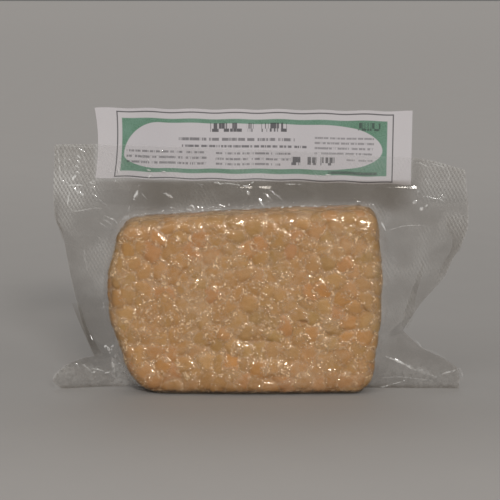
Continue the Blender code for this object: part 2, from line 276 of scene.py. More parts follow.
@dataclass
class CakeForm:
    """The cake's smooth form, from the CAD's own sizes."""

    depth: float = 0.0260
    # x, z and round radius of each corner: bottom left, top left, top right, bottom right
    corners: tuple = (
        (-0.0642, 0.0000, 0.0205),
        (-0.0673, 0.0798, 0.0115),
        (0.0550, 0.0862, 0.0080),
        (0.0530, 0.0000, 0.0105),
    )
    bulges: tuple = (0.0050, 0.0008, 0.0027, 0.0)
    step: float = 0.0004
    smoothing: float = 0.0050
    edge_round: float = 0.0060
    base_share: float = 0.80  # how much of that rounding the edges on the table have
    base_round_to: tuple[float, float] = (0.001, 0.014)  # where they get the rest of it, above the table
    sag: float = 0.0026  # how far the faces swell above the table
    sag_size: tuple[float, float] = (0.042, 0.014)  # how wide and how high they do
    face_crown: float = 0.0006
    flat_base: float = 0.0015
    columns: int = 200
    rows: int = 144
    edge_steps: int = 15
    rim_steps: int = 11

    def corner_arc(self, before: tuple, corner: tuple, after: tuple) -> Array:
        """Rounds a corner of the outline.

        Args:
            before: the corner before it.
            corner: its own x, z and radius.
            after: the corner after it.

        Returns:
            The arc's points, from the side before it to the side after it.
        """
        here = np.array(corner[:2])
        radius = corner[2]
        back = np.array(before[:2]) - here
        ahead = np.array(after[:2]) - here
        back /= np.linalg.norm(back)
        ahead /= np.linalg.norm(ahead)
        half_angle = math.acos(float(back @ ahead)) / 2
        centre = here + (back + ahead) / np.linalg.norm(back + ahead) * radius / math.sin(half_angle)
        reach = radius / math.tan(half_angle)
        start, end = here + back * reach - centre, here + ahead * reach - centre
        turn = math.acos(float(start @ end) / radius**2)
        shares = np.linspace(0.0, 1.0, max(2, round(radius * turn / self.step)) + 1)[:, None]
        return centre + (start * np.sin((1 - shares) * turn) + end * np.sin(shares * turn)) / math.sin(turn)

    def bowed_side(self, start: Array, end: Array, bulge: float) -> Array:
        """Bows the side between two corners' arcs outwards.

        Args:
            start: where the first arc ends.
            end: where the next one starts.
            bulge: how far it bows.

        Returns:
            The points between the two.
        """
        along = end - start
        outward = np.array([-along[1], along[0]]) / np.linalg.norm(along)
        shares = np.linspace(0.0, 1.0, round(float(np.linalg.norm(along)) / self.step) + 1)[1:-1]
        return start + shares[:, None] * along + (bulge * 4 * shares * (1 - shares))[:, None] * outward

    def outline(self) -> Array:
        """The cake's closed outline at mid-depth.

        Returns:
            Its points, clockwise from the middle of the bottom, as x and z.
        """
        count = len(self.corners)
        arcs = []
        for k in range(count):
            arcs.append(self.corner_arc(self.corners[k - 1], self.corners[k], self.corners[(k + 1) % count]))
        path = []
        for k in range(count):
            path.extend([arcs[k], self.bowed_side(arcs[k][-1], arcs[(k + 1) % count][0], self.bulges[k])])
        path = np.concatenate(path)
        window = round(self.smoothing / self.step)
        kernel = np.ones(window) / window
        around = np.concatenate([path[-window:], path, path[:window]])
        path = np.column_stack([np.convolve(around[:, k], kernel, "same")[window:-window] for k in (0, 1)])
        path[:, 1] -= path[:, 1].min()
        middle = (self.corners[0][0] + self.corners[3][0]) / 2
        low = np.where(path[:, 1] < self.flat_base)[0]
        return np.roll(path, -low[np.argmin(np.abs(path[low, 0] - middle))], axis=0)

    def stations(self) -> Array:
        """Divides each side of the outline evenly.

        Returns:
            The points, clockwise from the bottom left corner.
        """
        outline = self.outline()
        marks = [int(np.argmin(np.hypot(outline[:, 0] - x, outline[:, 1] - z))) for x, z, _ in self.corners]
        ring = []
        for k, count in enumerate((self.rows, self.columns) * 2):
            start, end = marks[k], marks[(k + 1) % 4]
            picked = np.arange(start, end + 1 if end > start else end + 1 + len(outline)) % len(outline)
            ring.append(resample(outline[picked], count)[:-1])
        return np.concatenate(ring)

    @staticmethod
    def outward(ring: Array) -> Array:
        """The unit outward direction at each point of a closed clockwise ring."""
        along = np.roll(ring, -1, axis=0) - np.roll(ring, 1, axis=0)
        along /= np.linalg.norm(along, axis=1)[:, None]
        return np.column_stack([-along[:, 1], along[:, 0]])

    def face_grid(self, ring: Array) -> Array:
        """Fills a ring with a grid of places.

        Args:
            ring: its points, as stations gives them.

        Returns:
            The places, in rows from the bottom up, each from left to right.
        """
        turn = self.rows + self.columns
        left = ring[: self.rows + 1]
        top = ring[self.rows : turn + 1]
        right = ring[turn : turn + self.rows + 1][::-1]
        bottom = np.concatenate([ring[turn + self.rows :], ring[:1]])[::-1]
        u = np.linspace(0.0, 1.0, self.columns + 1)[None, :, None]
        v = np.linspace(0.0, 1.0, self.rows + 1)[:, None, None]
        sides = (1 - v) * bottom[None] + v * top[None] + (1 - u) * left[:, None] + u * right[:, None]
        low, high = (1 - u) * bottom[0] + u * bottom[-1], (1 - u) * top[0] + u * top[-1]
        return sides - ((1 - v) * low + v * high)

    def shell(self) -> Shell:
        """The cake's smooth closed skin.

        Returns:
            The skin, with its rings and faces.
        """
        half = self.depth / 2 - self.face_crown
        stations = self.stations()
        count = len(stations)
        outward = self.outward(stations)
        risen = smoothstep(*self.base_round_to, stations[:, 1])
        round_ = self.edge_round * (self.base_share + (1 - self.base_share) * risen)
        front = []
        for step in range(self.edge_steps + 1):
            angle = math.pi / 2 * step / self.edge_steps
            front.append((round_ * (1 - math.sin(angle)), -(half - round_ * (1 - math.cos(angle)))))
        for share in np.linspace(1.0, 0.0, self.rim_steps + 1)[1:]:
            front.append((0.0 * round_, -share * (half - round_)))
        levels = front + [(inset, -y) for inset, y in front[-2::-1]]
        points = []
        for inset, y in levels:
            ring = stations - inset[:, None] * outward
            points.append(np.column_stack([ring[:, 0], y, ring[:, 1]]))
        rings = np.arange(len(levels) * count).reshape(len(levels), count)
        ahead = np.roll(rings, -1, axis=1)
        quads = [np.stack([rings[:-1], ahead[:-1], ahead[1:], rings[1:]], axis=-1).reshape(-1, 4)]
        grid = self.face_grid(stations - round_[:, None] * outward)
        u = np.linspace(0.0, 1.0, self.columns + 1)[None]
        v = np.linspace(0.0, 1.0, self.rows + 1)[:, None]
        crown = self.face_crown * 16 * u * (1 - u) * v * (1 - v)
        faces = {}
        total = rings.size
        for side, ring in ((Side.FRONT, rings[0]), (Side.BACK, rings[-1])):
            numbers = np.zeros((self.rows + 1, self.columns + 1), int)
            turn = self.rows + self.columns
            inner = (self.rows - 1) * (self.columns - 1)
            numbers[1:-1, 1:-1] = total + np.arange(inner).reshape(self.rows - 1, self.columns - 1)
            numbers[:, 0] = ring[: self.rows + 1]
            numbers[-1] = ring[self.rows : turn + 1]
            numbers[:, -1] = ring[turn : turn + self.rows + 1][::-1]
            numbers[0] = np.concatenate([ring[turn + self.rows :], ring[:1]])[::-1]
            spots = np.stack([grid[..., 0], side.value * (half + crown), grid[..., 1]], axis=-1)
            points.append(spots[1:-1, 1:-1].reshape(-1, 3))
            quads.append(grid_quads(numbers, side is Side.BACK))
            faces[side] = numbers
            total += inner
        points = np.concatenate(points)
        middle = (self.corners[0][0] + self.corners[3][0]) / 2
        swell = np.exp(-((points[:, 2] / self.sag_size[1]) ** 2))
        swell *= np.exp(-(((points[:, 0] - middle) / self.sag_size[0]) ** 2))
        points[:, 1] *= 1 + self.sag * swell / half
        return Shell(points, np.concatenate(quads), rings, faces)


# ---------------------------------------------------------------- finishes


def srgb(red: int, green: int, blue: int) -> tuple[float, float, float, float]:
    """A colour's linear values from its 0 to 255 ones."""
    parts = [v / 255 for v in (red, green, blue)]
    return (*[v / 12.92 if v <= 0.04045 else ((v + 0.055) / 1.055) ** 2.4 for v in parts], 1.0)


@dataclass(frozen=True)
class Grain:
    """How fine and how strong a mottle is."""

    scale: float
    detail: float
    rough: float
    low: float
    high: float
    amount: float

    def inputs(self) -> dict[str, float]:
        """The values by the mottle group's input names."""
        names = ("Scale", "Detail", "Roughness", "Low", "High", "Amount")
        return dict(zip(names, (self.scale, self.detail, self.rough, self.low, self.high, self.amount)))


class Nodes:
    """A node tree, with short ways to add and join nodes."""

    def __init__(self, tree: bpy.types.NodeTree) -> None:
        """Wraps a node tree."""
        self.tree = tree

    def add(self, kind: str, **settings: object) -> bpy.types.Node:
        """Adds a node of that kind.

        Args:
            kind: Blender's name for it.
            settings: properties to set on it.

        Returns:
            The node.
        """
        node = self.tree.nodes.new(kind)
        for name, value in settings.items():
            setattr(node, name, value)
        return node

    def join(self, source: Socket, target: Socket) -> None:
        """Links an output socket to an input socket."""
        self.tree.links.new(source, target)

    def feed(self, socket: Socket, value: Value) -> None:
        """Gives an input a link or a plain value."""
        if isinstance(value, bpy.types.NodeSocket):
            self.join(value, socket)
        else:
            socket.default_value = value

    def math(self, operation: str, *values: Value, clamp: bool = False) -> Socket:
        """Adds a Math node.

        Args:
            operation: what it does.
            values: one to three numbers or sockets.
            clamp: whether the result is held between 0 and 1.

        Returns:
            Its output.
        """
        node = self.add("ShaderNodeMath", operation=operation, use_clamp=clamp)
        for socket, value in zip(node.inputs, values):
            self.feed(socket, value)
        return node.outputs[0]

    def times(self, first: Value, *others: Value) -> Socket:
        """Multiplies two or more values."""
        for other in others:
            first = self.math("MULTIPLY", first, other)
        return first

    def times_add(self, first: Value, second: Value, third: Value, clamp: bool = False) -> Socket:
        """Multiplies two values and adds a third."""
        return self.math("MULTIPLY_ADD", first, second, third, clamp=clamp)

    def from_middle(self, value: Value, middle: float = 0.5) -> Socket:
        """How far a value is from a middle one, either way."""
        return self.math("ABSOLUTE", self.math("SUBTRACT", value, middle))

    def blend(self, share: Value, first: Value, second: Value, mode: str = "MIX") -> Socket:
        """Adds a colour Mix node.

        Args:
            share: how much of the second colour.
            first: a colour or socket.
            second: a colour or socket.
            mode: how they are blended.

        Returns:
            Its output.
        """
        node = self.add("ShaderNodeMix", data_type="RGBA", blend_type=mode)
        for socket, value in ((node.inputs[0], share), (node.inputs[6], first), (node.inputs[7], second)):
            self.feed(socket, value)
        return node.outputs[2]

    def tint(self, share: Value, colour: Socket, by: Colour) -> Socket:
        """Multiplies a colour by a plain one, as far as the share says."""
        return self.blend(share, colour, self.blend(1.0, colour, (*by, 1.0), "MULTIPLY"))

    def noise(
        self, place: Socket, scale: Value, detail: Value = 2.0, rough: Value = 0.5, bend: float = 0.0
    ) -> Socket:
        """Adds a noise texture.

        Args:
            place: where it is read.
            scale: 1 over the width of its lumps, in metres.
            detail: how many finer layers it has.
            rough: how strong those are.
            bend: how far it is distorted.

        Returns:
            Its value, about 0.3 to 0.7.
        """
        node = self.add("ShaderNodeTexNoise")
        for name, value in (("Vector", place), ("Scale", scale), ("Detail", detail), ("Roughness", rough)):
            self.feed(node.inputs[name], value)
        node.inputs["Distortion"].default_value = bend
        return node.outputs["Fac"]

    def ramp(self, value: Value, low: Value, high: Value, start: Value = 0.0, end: Value = 1.0) -> Socket:
        """Maps a value smoothly from a range to another one.

        Args:
            value: what to map.
            low: where the change starts.
            high: where it ends.
            start: the result up to low.
            end: the result from high on.

        Returns:
            The result's socket.
        """
        node = self.add("ShaderNodeMapRange", interpolation_type="SMOOTHSTEP")
        for socket, given in zip(node.inputs, (value, low, high, start, end)):
            self.feed(socket, given)
        return node.outputs[0]

    def place(self) -> Socket:
        """The place on the piece, in metres."""
        return self.add("ShaderNodeTexCoord").outputs["Object"]

    def axes(self, place: Socket) -> tuple[Socket, Socket, Socket]:
        """A place's X, Y and Z."""
        node = self.add("ShaderNodeSeparateXYZ")
        self.join(place, node.inputs[0])
        return tuple(node.outputs)

    def marks(self, name: str) -> tuple[Socket, Socket, Socket]:
        """The three values that a mesh attribute holds."""
        node = self.add("ShaderNodeSeparateColor")
        self.join(self.add("ShaderNodeAttribute", attribute_name=name).outputs["Color"], node.inputs[0])
        return tuple(node.outputs)

    def bump(self, height: Socket, strength: float, distance: float) -> Socket:
        """Adds a Bump node.

        Args:
            height: the relief.
            strength: how much of it shows.
            distance: how deep a height of 1 is, in metres.

        Returns:
            The normal.
        """
        node = self.add("ShaderNodeBump")
        node.inputs["Strength"].default_value = strength
        node.inputs["Distance"].default_value = distance
        self.join(height, node.inputs["Height"])
        return node.outputs[0]

    def mottle(self, place: Socket, grain: Grain, base: Value, tone: Value) -> tuple[Socket, Socket]:
        """Places the mottle group.

        Args:
            place: where its noise is read.
            grain: how fine and how strong it is.
            base: the colour that is mottled.
            tone: the colour that it is mottled with.

        Returns:
            The mottled colour, and the noise.
        """
        node = self.add("ShaderNodeGroup", node_tree=mottle_group())
        values = {"Place": place, "Base": base, "Tone": tone, **grain.inputs()}
        for name, value in values.items():
            self.feed(node.inputs[name], value)
        return node.outputs["Colour"], node.outputs["Noise"]


def mottle_group() -> bpy.types.NodeTree:
    """The mottle that the cake, the table and the paper share: soft noise blends a tone into a base colour.

    Returns:
        The shader node group, built the first time it is asked for.
    """
    if "mottle" in bpy.data.node_groups:
        return bpy.data.node_groups["mottle"]
    tree = bpy.data.node_groups.new("mottle", "ShaderNodeTree")
    kinds = {"Place": "Vector", "Base": "Color", "Tone": "Color"}
    for name in ("Place", "Scale", "Detail", "Roughness", "Low", "High", "Amount", "Base", "Tone"):
        kind = kinds.get(name, "Float")
        tree.interface.new_socket(name=name, in_out="INPUT", socket_type=f"NodeSocket{kind}")
    for name, kind in (("Colour", "Color"), ("Noise", "Float")):
        tree.interface.new_socket(name=name, in_out="OUTPUT", socket_type=f"NodeSocket{kind}")
    nodes = Nodes(tree)
    given = nodes.add("NodeGroupInput").outputs
    noise = nodes.noise(given["Place"], given["Scale"], given["Detail"], given["Roughness"])
    share = nodes.ramp(noise, given["Low"], given["High"], 0.0, given["Amount"])
    result = nodes.add("NodeGroupOutput").inputs
    nodes.join(nodes.blend(share, given["Base"], given["Tone"]), result["Colour"])
    nodes.join(noise, result["Noise"])
    return tree


def new_material(name: str) -> tuple[bpy.types.Material, Nodes, bpy.types.Node]:
    """Makes a node material.

    Returns:
        The material, its nodes, and its Principled BSDF.
    """
    material = bpy.data.materials.new(name)
    material.use_nodes = True
    return material, Nodes(material.node_tree), material.node_tree.nodes["Principled BSDF"]


@dataclass(frozen=True)
class TempehFinish:
    """Cooked soybeans bound by pale mould: tan, pink, olive and golden beans with hazy bloom between."""

    beans: tuple = (
        (0.00, (180, 134, 76)),
        (0.14, (193, 147, 86)),
        (0.30, (198, 153, 92)),
        (0.44, (184, 144, 80)),
        (0.56, (199, 151, 98)),
        (0.68, (187, 143, 84)),
        (0.80, (178, 139, 78)),
        (0.88, (201, 145, 76)),
        (0.95, (194, 140, 92)),
        (1.00, (213, 147, 58)),
    )
    pale: Rgb = (216, 170, 116)
    brown: Rgb = (176, 124, 70)
    warm: Rgb = (198, 138, 74)
    bloom: Rgb = (198, 164, 128)
    # painted shade in the creases between beans
    crease: Rgb = (150, 98, 54)
    contact_shadow: Rgb = (50, 29, 15)  # painted contact shadow where it stands on the table
    pale_grain: Grain = Grain(420.0, 4.0, 0.6, 0.35, 0.75, 0.18)
    brown_grain: Grain = Grain(1900.0, 2.0, 0.5, 0.50, 0.80, 0.20)
    # painted shade on the cake's rounded rim
    rim_shade_tint: Colour = (0.70, 0.71, 0.78)
    # painted shade that darkens the cake's right side
    right_side_shade: Colour = (0.86, 0.93, 1.10)
    right_side_shade_from: tuple[float, float] = (0.045, 0.056)
    # painted shade towards the table
    foot_shade_tint: Colour = (0.72, 0.64, 0.54)
    foot_shade_to: tuple[float, float] = (0.001, 0.014)
    contact_shadow_to: tuple[float, float] = (0.0004, 0.0025)
    ragged: float = 0.0012  # how uneven the edges of those two painted shades are
    roughness: tuple[float, float] = (0.45, 0.67)
    bump_strength: float = 0.35
    bump_distance: float = 0.0003

    def bean_colour(self, nodes: Nodes, tone: Socket) -> Socket:
        """The colour of each bean.

        Args:
            nodes: the material's.
            tone: the bean's own value, from 0 to 1.

        Returns:
            Its colour.
        """
        ramp = nodes.add("ShaderNodeValToRGB")
        stops = ramp.color_ramp.elements
        while len(stops) < len(self.beans):
            stops.new(0.5)
        for stop, (share, colour) in zip(stops, self.beans):
            stop.position = share
            stop.color = srgb(*colour)
        nodes.join(tone, ramp.inputs[0])
        return ramp.outputs[0]

    def material(self) -> bpy.types.Material:
        """Builds the finish.

        Returns:
            The material.
        """
        material, nodes, shader = new_material("tempeh")
        tone, crease, bloom = nodes.marks("bean_marks")
        place = nodes.place()
        cloud = nodes.noise(place, 55.0, 3.0)
        colour, mottle = nodes.mottle(place, self.pale_grain, self.bean_colour(nodes, tone), srgb(*self.pale))
        colour, grain = nodes.mottle(place, self.brown_grain, colour, srgb(*self.brown))
        warm = nodes.ramp(nodes.noise(place, 42.0, 2.0), 0.42, 0.62, 0.0, 0.34)
        colour = nodes.blend(warm, colour, srgb(*self.warm))
        haze = nodes.times(nodes.ramp(cloud, 0.44, 0.62), nodes.ramp(mottle, 0.40, 0.62), 0.45)
        haze = nodes.math("MAXIMUM", haze, nodes.times(bloom, 0.55))
        colour = nodes.blend(haze, colour, srgb(*self.bloom))
        # painted shade in the creases between beans and in the slit
        dark = nodes.times(nodes.math("POWER", crease, 1.5), nodes.ramp(cloud, 0.35, 0.65, 0.35, 0.05))
        colour = nodes.blend(dark, colour, srgb(*self.crease))
        # painted shade on the rounded rim
        rim = nodes.add("ShaderNodeAttribute", attribute_name="rim").outputs["Fac"]
        colour = nodes.tint(rim, colour, self.rim_shade_tint)
        across, _, height = nodes.axes(place)
        # painted shade on the right side
        colour = nodes.tint(nodes.ramp(across, *self.right_side_shade_from), colour, self.right_side_shade)
        # painted shade darkens it towards the table, with a painted contact shadow where it stands on it
        low = nodes.times_add(nodes.ramp(mottle, 0.3, 0.7), -self.ragged, height)
        colour = nodes.tint(nodes.ramp(low, *self.foot_shade_to, 1.0, 0.0), colour, self.foot_shade_tint)
        colour = nodes.blend(nodes.ramp(low, *self.contact_shadow_to, 0.96, 0.0), colour, srgb(*self.contact_shadow))
        nodes.join(colour, shader.inputs["Base Color"])
        nodes.join(nodes.ramp(mottle, 0.3, 0.7, *self.roughness), shader.inputs["Roughness"])
        relief = nodes.times_add(grain, 0.4, mottle)
        nodes.join(nodes.bump(relief, self.bump_strength, self.bump_distance), shader.inputs["Normal"])
        return material


@dataclass(frozen=True)
class TableFinish:
    """The pale matt table, with painted shade that dims it near the front and painted light that brightens it
    behind.
    """

    colour: Rgb = (171, 167, 163)
    spots: Rgb = (181, 177, 172)
    grain: Grain = Grain(30.0, 4.0, 0.5, 0.3, 0.7, 0.10)
    # painted shade and light: from and to, along Y, and how bright
    painted_light_zones: tuple = ((-0.170, -0.010, 0.80), (0.020, 1.000, 1.16), (1.000, 12.00, 1.04))
    roughness: float = 0.75

    def material(self) -> bpy.types.Material:
        """Builds the finish.

        Returns:
            The material.
        """
        material, nodes, shader = new_material("table")
        place = nodes.place()
        colour, _ = nodes.mottle(place, self.grain, srgb(*self.colour), srgb(*self.spots))
        _, back, _ = nodes.axes(place)
        for near, far, painted_brightness in self.painted_light_zones:
            colour = nodes.tint(nodes.ramp(back, near, far), colour, (painted_brightness, painted_brightness, painted_brightness))
        nodes.join(colour, shader.inputs["Base Color"])
        shader.inputs["Roughness"].default_value = self.roughness
        return material


@dataclass(frozen=True)
class FilmFinish:
    """Clear vacuum bag film: glossy, crinkled tight over the cake, with a diamond emboss in its margins."""

    clear: Colour = (0.985, 0.984, 0.982)
    # the film's darker tint, which also carries its painted shadows and the folds' painted shade
    dark: Colour = (0.690, 0.665, 0.632)
    # white of the film's haze, and of its painted glints on creases, wrinkles and specks
    haze_and_glint_white: Rgb = (250, 250, 247)
    warm: Rgb = (255, 216, 170)  # the white's tone where it lies on the cake, for its haze and its painted glints
    warm_shine: Colour = (1.0, 0.90, 0.74)
    haze: float = 0.009
    crease_glint_and_haze: float = 0.95
    painted_line_glint: float = 0.40
    painted_speck_glint: float = 0.80
    cloud_haze: float = 0.20
    streak_haze: float = 0.035
    emboss_haze: float = 0.13
    gloss: float = 0.055
    taut_gloss: float = 0.045
    crease_gloss: float = 0.06
    line_gloss: float = 0.10
    edge_gloss: float = 0.85
    shine_roughness: float = 0.09
    # scale, half width, bend, scale of what cuts them, how little is left
    lines: tuple = (
        (290.0, 0.045, 0.7, 230.0, 0.34),
        (440.0, 0.055, 0.5, 170.0, 0.38),
        (205.0, 0.034, 1.0, 150.0, 0.38),
        (640.0, 0.065, 0.3, 210.0, 0.42),
    )
    speck_scale: float = 620.0
    speck_from: float = 0.65
    foot_fade: tuple[float, float] = (0.003, 0.014)  # the wrinkles are fewer up to here,
    top_fade: tuple[float, float] = (0.077, 0.085)  # and from here
    facet_height: float = 3.6
    line_height: float = 1.5
    emboss_height: float = 0.6
    emboss_pitch: float = 0.0018
    emboss_lean: float = 0.55
    corner_x: tuple[float, float] = (0.068, 0.079)  # the emboss is clearest past these, either side
    corner_z: tuple[float, float] = (0.080, 0.096)
    bump_distance: float = 0.00010

    def squiggles(self, nodes: Nodes, place: Socket, zone: Socket) -> Socket:
        """The short squiggly wrinkles of the tight film.

        Args:
            nodes: the material's.
            place: the place on the film.
            zone: how many there are.

        Returns:
            1 on a wrinkle, 0 off it.
        """
        squiggle = 0.0
        for scale, half, bend, cut, low in self.lines:
            gap = nodes.from_middle(nodes.noise(place, scale, 0.0, 0.5, bend))
            ridge = nodes.ramp(gap, 0.0, half, 1.0, 0.0)
            ridge = nodes.times(ridge, nodes.ramp(nodes.noise(place, cut, 1.0), low, low + 0.10))
            squiggle = nodes.math("MAXIMUM", ridge, squiggle)
        return nodes.times(squiggle, zone)

    def emboss(self, nodes: Nodes, place: Socket, dark: Socket) -> Socket:
        """The diamond emboss of the margins, worn in patches and clearest in the mouth's two corners.

        Args:
            nodes: the material's.
            place: the place on the film.
            dark: how dark the film is.

        Returns:
            Its height, from 0 to about 1.
        """
        across, _, height = nodes.axes(place)
        waves = []
        for lean in (self.emboss_lean, -self.emboss_lean):
            turns = nodes.times(nodes.times_add(height, lean, across), 2 * math.pi / self.emboss_pitch)
            waves.append(nodes.math("SINE", turns))
        diamond = nodes.times_add(nodes.times_add(waves[1], 0.45, waves[0]), 0.345, 0.5)
        patchy_share = nodes.times(
            nodes.ramp(nodes.noise(place, 48.0, 2.0), 0.44, 0.66),
            nodes.ramp(height, 0.022, 0.050, 0.15, 1.0),
            nodes.ramp(dark, 0.60, 0.98, 1.0, 0.50),
        )
        corner = nodes.ramp(nodes.math("ABSOLUTE", across), *self.corner_x)
        corner = nodes.times(corner, nodes.ramp(height, *self.corner_z))
        patchy_share = nodes.math("MAXIMUM", patchy_share, nodes.times(corner, 0.45))
        return nodes.times(diamond, patchy_share, nodes.times_add(corner, 1.5, 1.0))

    def veil(self, nodes: Nodes, place: Socket, taut: Socket, slack: Socket) -> Socket:
        """The milky haze that doesn't come from creases, wrinkles or emboss, with painted glints on specks of
        slack film.

        Args:
            nodes: the material's.
            place: the place on the film.
            taut: 1 over the cake, 0 in the margins.
            slack: how slack the tight film is between beans.

        Returns:
            Its share.
        """
        streak = nodes.from_middle(nodes.noise(place, 90.0, 3.0, 0.6, 2.0))
        streak = nodes.ramp(streak, 0.0, 0.020, self.streak_haze, 0.0)
        streak = nodes.times(streak, nodes.math("SUBTRACT", 1.0, taut))
        cloud = nodes.ramp(nodes.noise(place, 62.0, 2.0), 0.52, 0.66, 0.0, self.cloud_haze)
        cloud = nodes.times(cloud, taut, nodes.ramp(slack, 0.0, 1.0, 0.3, 1.0))
        # painted glints: white specks on slack film
        speck = nodes.noise(place, self.speck_scale, 0.0, 0.5, 1.1)
        speck = nodes.ramp(speck, self.speck_from, self.speck_from + 0.06, 0.0, self.painted_speck_glint)
        total = nodes.math("ADD", nodes.math("ADD", streak, cloud), self.haze)
        return nodes.times_add(speck, slack, total)

    def material(self) -> bpy.types.Material:
        """Builds the finish.

        Returns:
            The material.
        """
        material, nodes, shader = new_material("clear_film")
        material.node_tree.nodes.remove(shader)
        taut, dark, crease = nodes.marks("film_marks")
        place = nodes.place()
        height = nodes.axes(place)[2]
        loose = nodes.math("SUBTRACT", 1.0, taut)
        slack = nodes.times(crease, taut, nodes.ramp(height, *self.foot_fade, 0.35, 1.0))
        slack = nodes.times(slack, nodes.ramp(height, *self.top_fade, 1.0, 0.45))
        crease = nodes.times(crease, loose, nodes.ramp(nodes.noise(place, 640.0, 1.0), 0.40, 0.60, 0.30, 1.0))
        zone = nodes.times_add(slack, 0.92, 0.08)
        squiggle = nodes.times(self.squiggles(nodes, place, zone), taut)
        emboss = nodes.times(self.emboss(nodes, place, dark), loose)
        relief = nodes.times(nodes.noise(place, 480.0, 1.0), self.facet_height, zone)
        relief = nodes.times_add(squiggle, self.line_height, relief)
        relief = nodes.times_add(emboss, self.emboss_height, relief)
        normal = nodes.bump(relief, 1.0, self.bump_distance)
        veil = nodes.times_add(emboss, self.emboss_haze, self.veil(nodes, place, taut, slack))
        # painted highlights: the white of the creases' ridges and of the wrinkles stands in for their glints;
        # ears, spots and edges get haze
        veil = nodes.times_add(crease, self.crease_glint_and_haze, veil)
        veil = nodes.times_add(squiggle, self.painted_line_glint, veil, clamp=True)
        clear = nodes.add("ShaderNodeBsdfTransparent")
        nodes.join(nodes.blend(dark, (*self.clear, 1.0), (*self.dark, 1.0)), clear.inputs["Color"])
        haze_and_glint_white = nodes.add("ShaderNodeBsdfDiffuse")
        nodes.join(nodes.blend(taut, srgb(*self.haze_and_glint_white), srgb(*self.warm)), haze_and_glint_white.inputs["Color"])
        nodes.join(normal, haze_and_glint_white.inputs["Normal"])
        shine = nodes.add("ShaderNodeBsdfAnisotropic")
        nodes.join(nodes.blend(taut, (1.0, 1.0, 1.0, 1.0), (*self.warm_shine, 1.0)), shine.inputs["Color"])
        shine.inputs["Roughness"].default_value = self.shine_roughness
        nodes.join(normal, shine.inputs["Normal"])
        facing = nodes.add("ShaderNodeLayerWeight")
        facing.inputs["Blend"].default_value = 0.5
        nodes.join(normal, facing.inputs["Normal"])
        quiet = nodes.ramp(dark, 0.50, 0.85, self.gloss, 0.35 * self.gloss)
        tight = nodes.times(taut, nodes.ramp(slack, 0.0, 0.6, 0.30, 1.0))
        gloss = nodes.times_add(tight, self.taut_gloss, quiet)
        gloss = nodes.times_add(crease, self.crease_gloss, gloss)
        gloss = nodes.times_add(squiggle, self.line_gloss, gloss)
        glance = nodes.math("POWER", facing.outputs["Facing"], 5.0)
        gloss = nodes.times_add(glance, self.edge_gloss, gloss, clamp=True)
        under = self.layered(nodes, veil, clear, haze_and_glint_white)
        over = self.layered(nodes, gloss, under, shine)
        nodes.join(over.outputs[0], material.node_tree.nodes["Material Output"].inputs["Surface"])
        return material

    @staticmethod
    def layered(nodes: Nodes, share: Socket, first: bpy.types.Node, second: bpy.types.Node) -> bpy.types.Node:
        """Mixes two shaders.

        Args:
            nodes: the material's.
            share: how much of the second.
            first: a shader's node.
            second: the other shader's node.

        Returns:
            The node of the mix.
        """
        node = nodes.add("ShaderNodeMixShader")
        for socket, source in zip(node.inputs, (share, first.outputs[0], second.outputs[0])):
            nodes.join(source, socket)
        return node


# ---------------------------------------------------------------- the beans


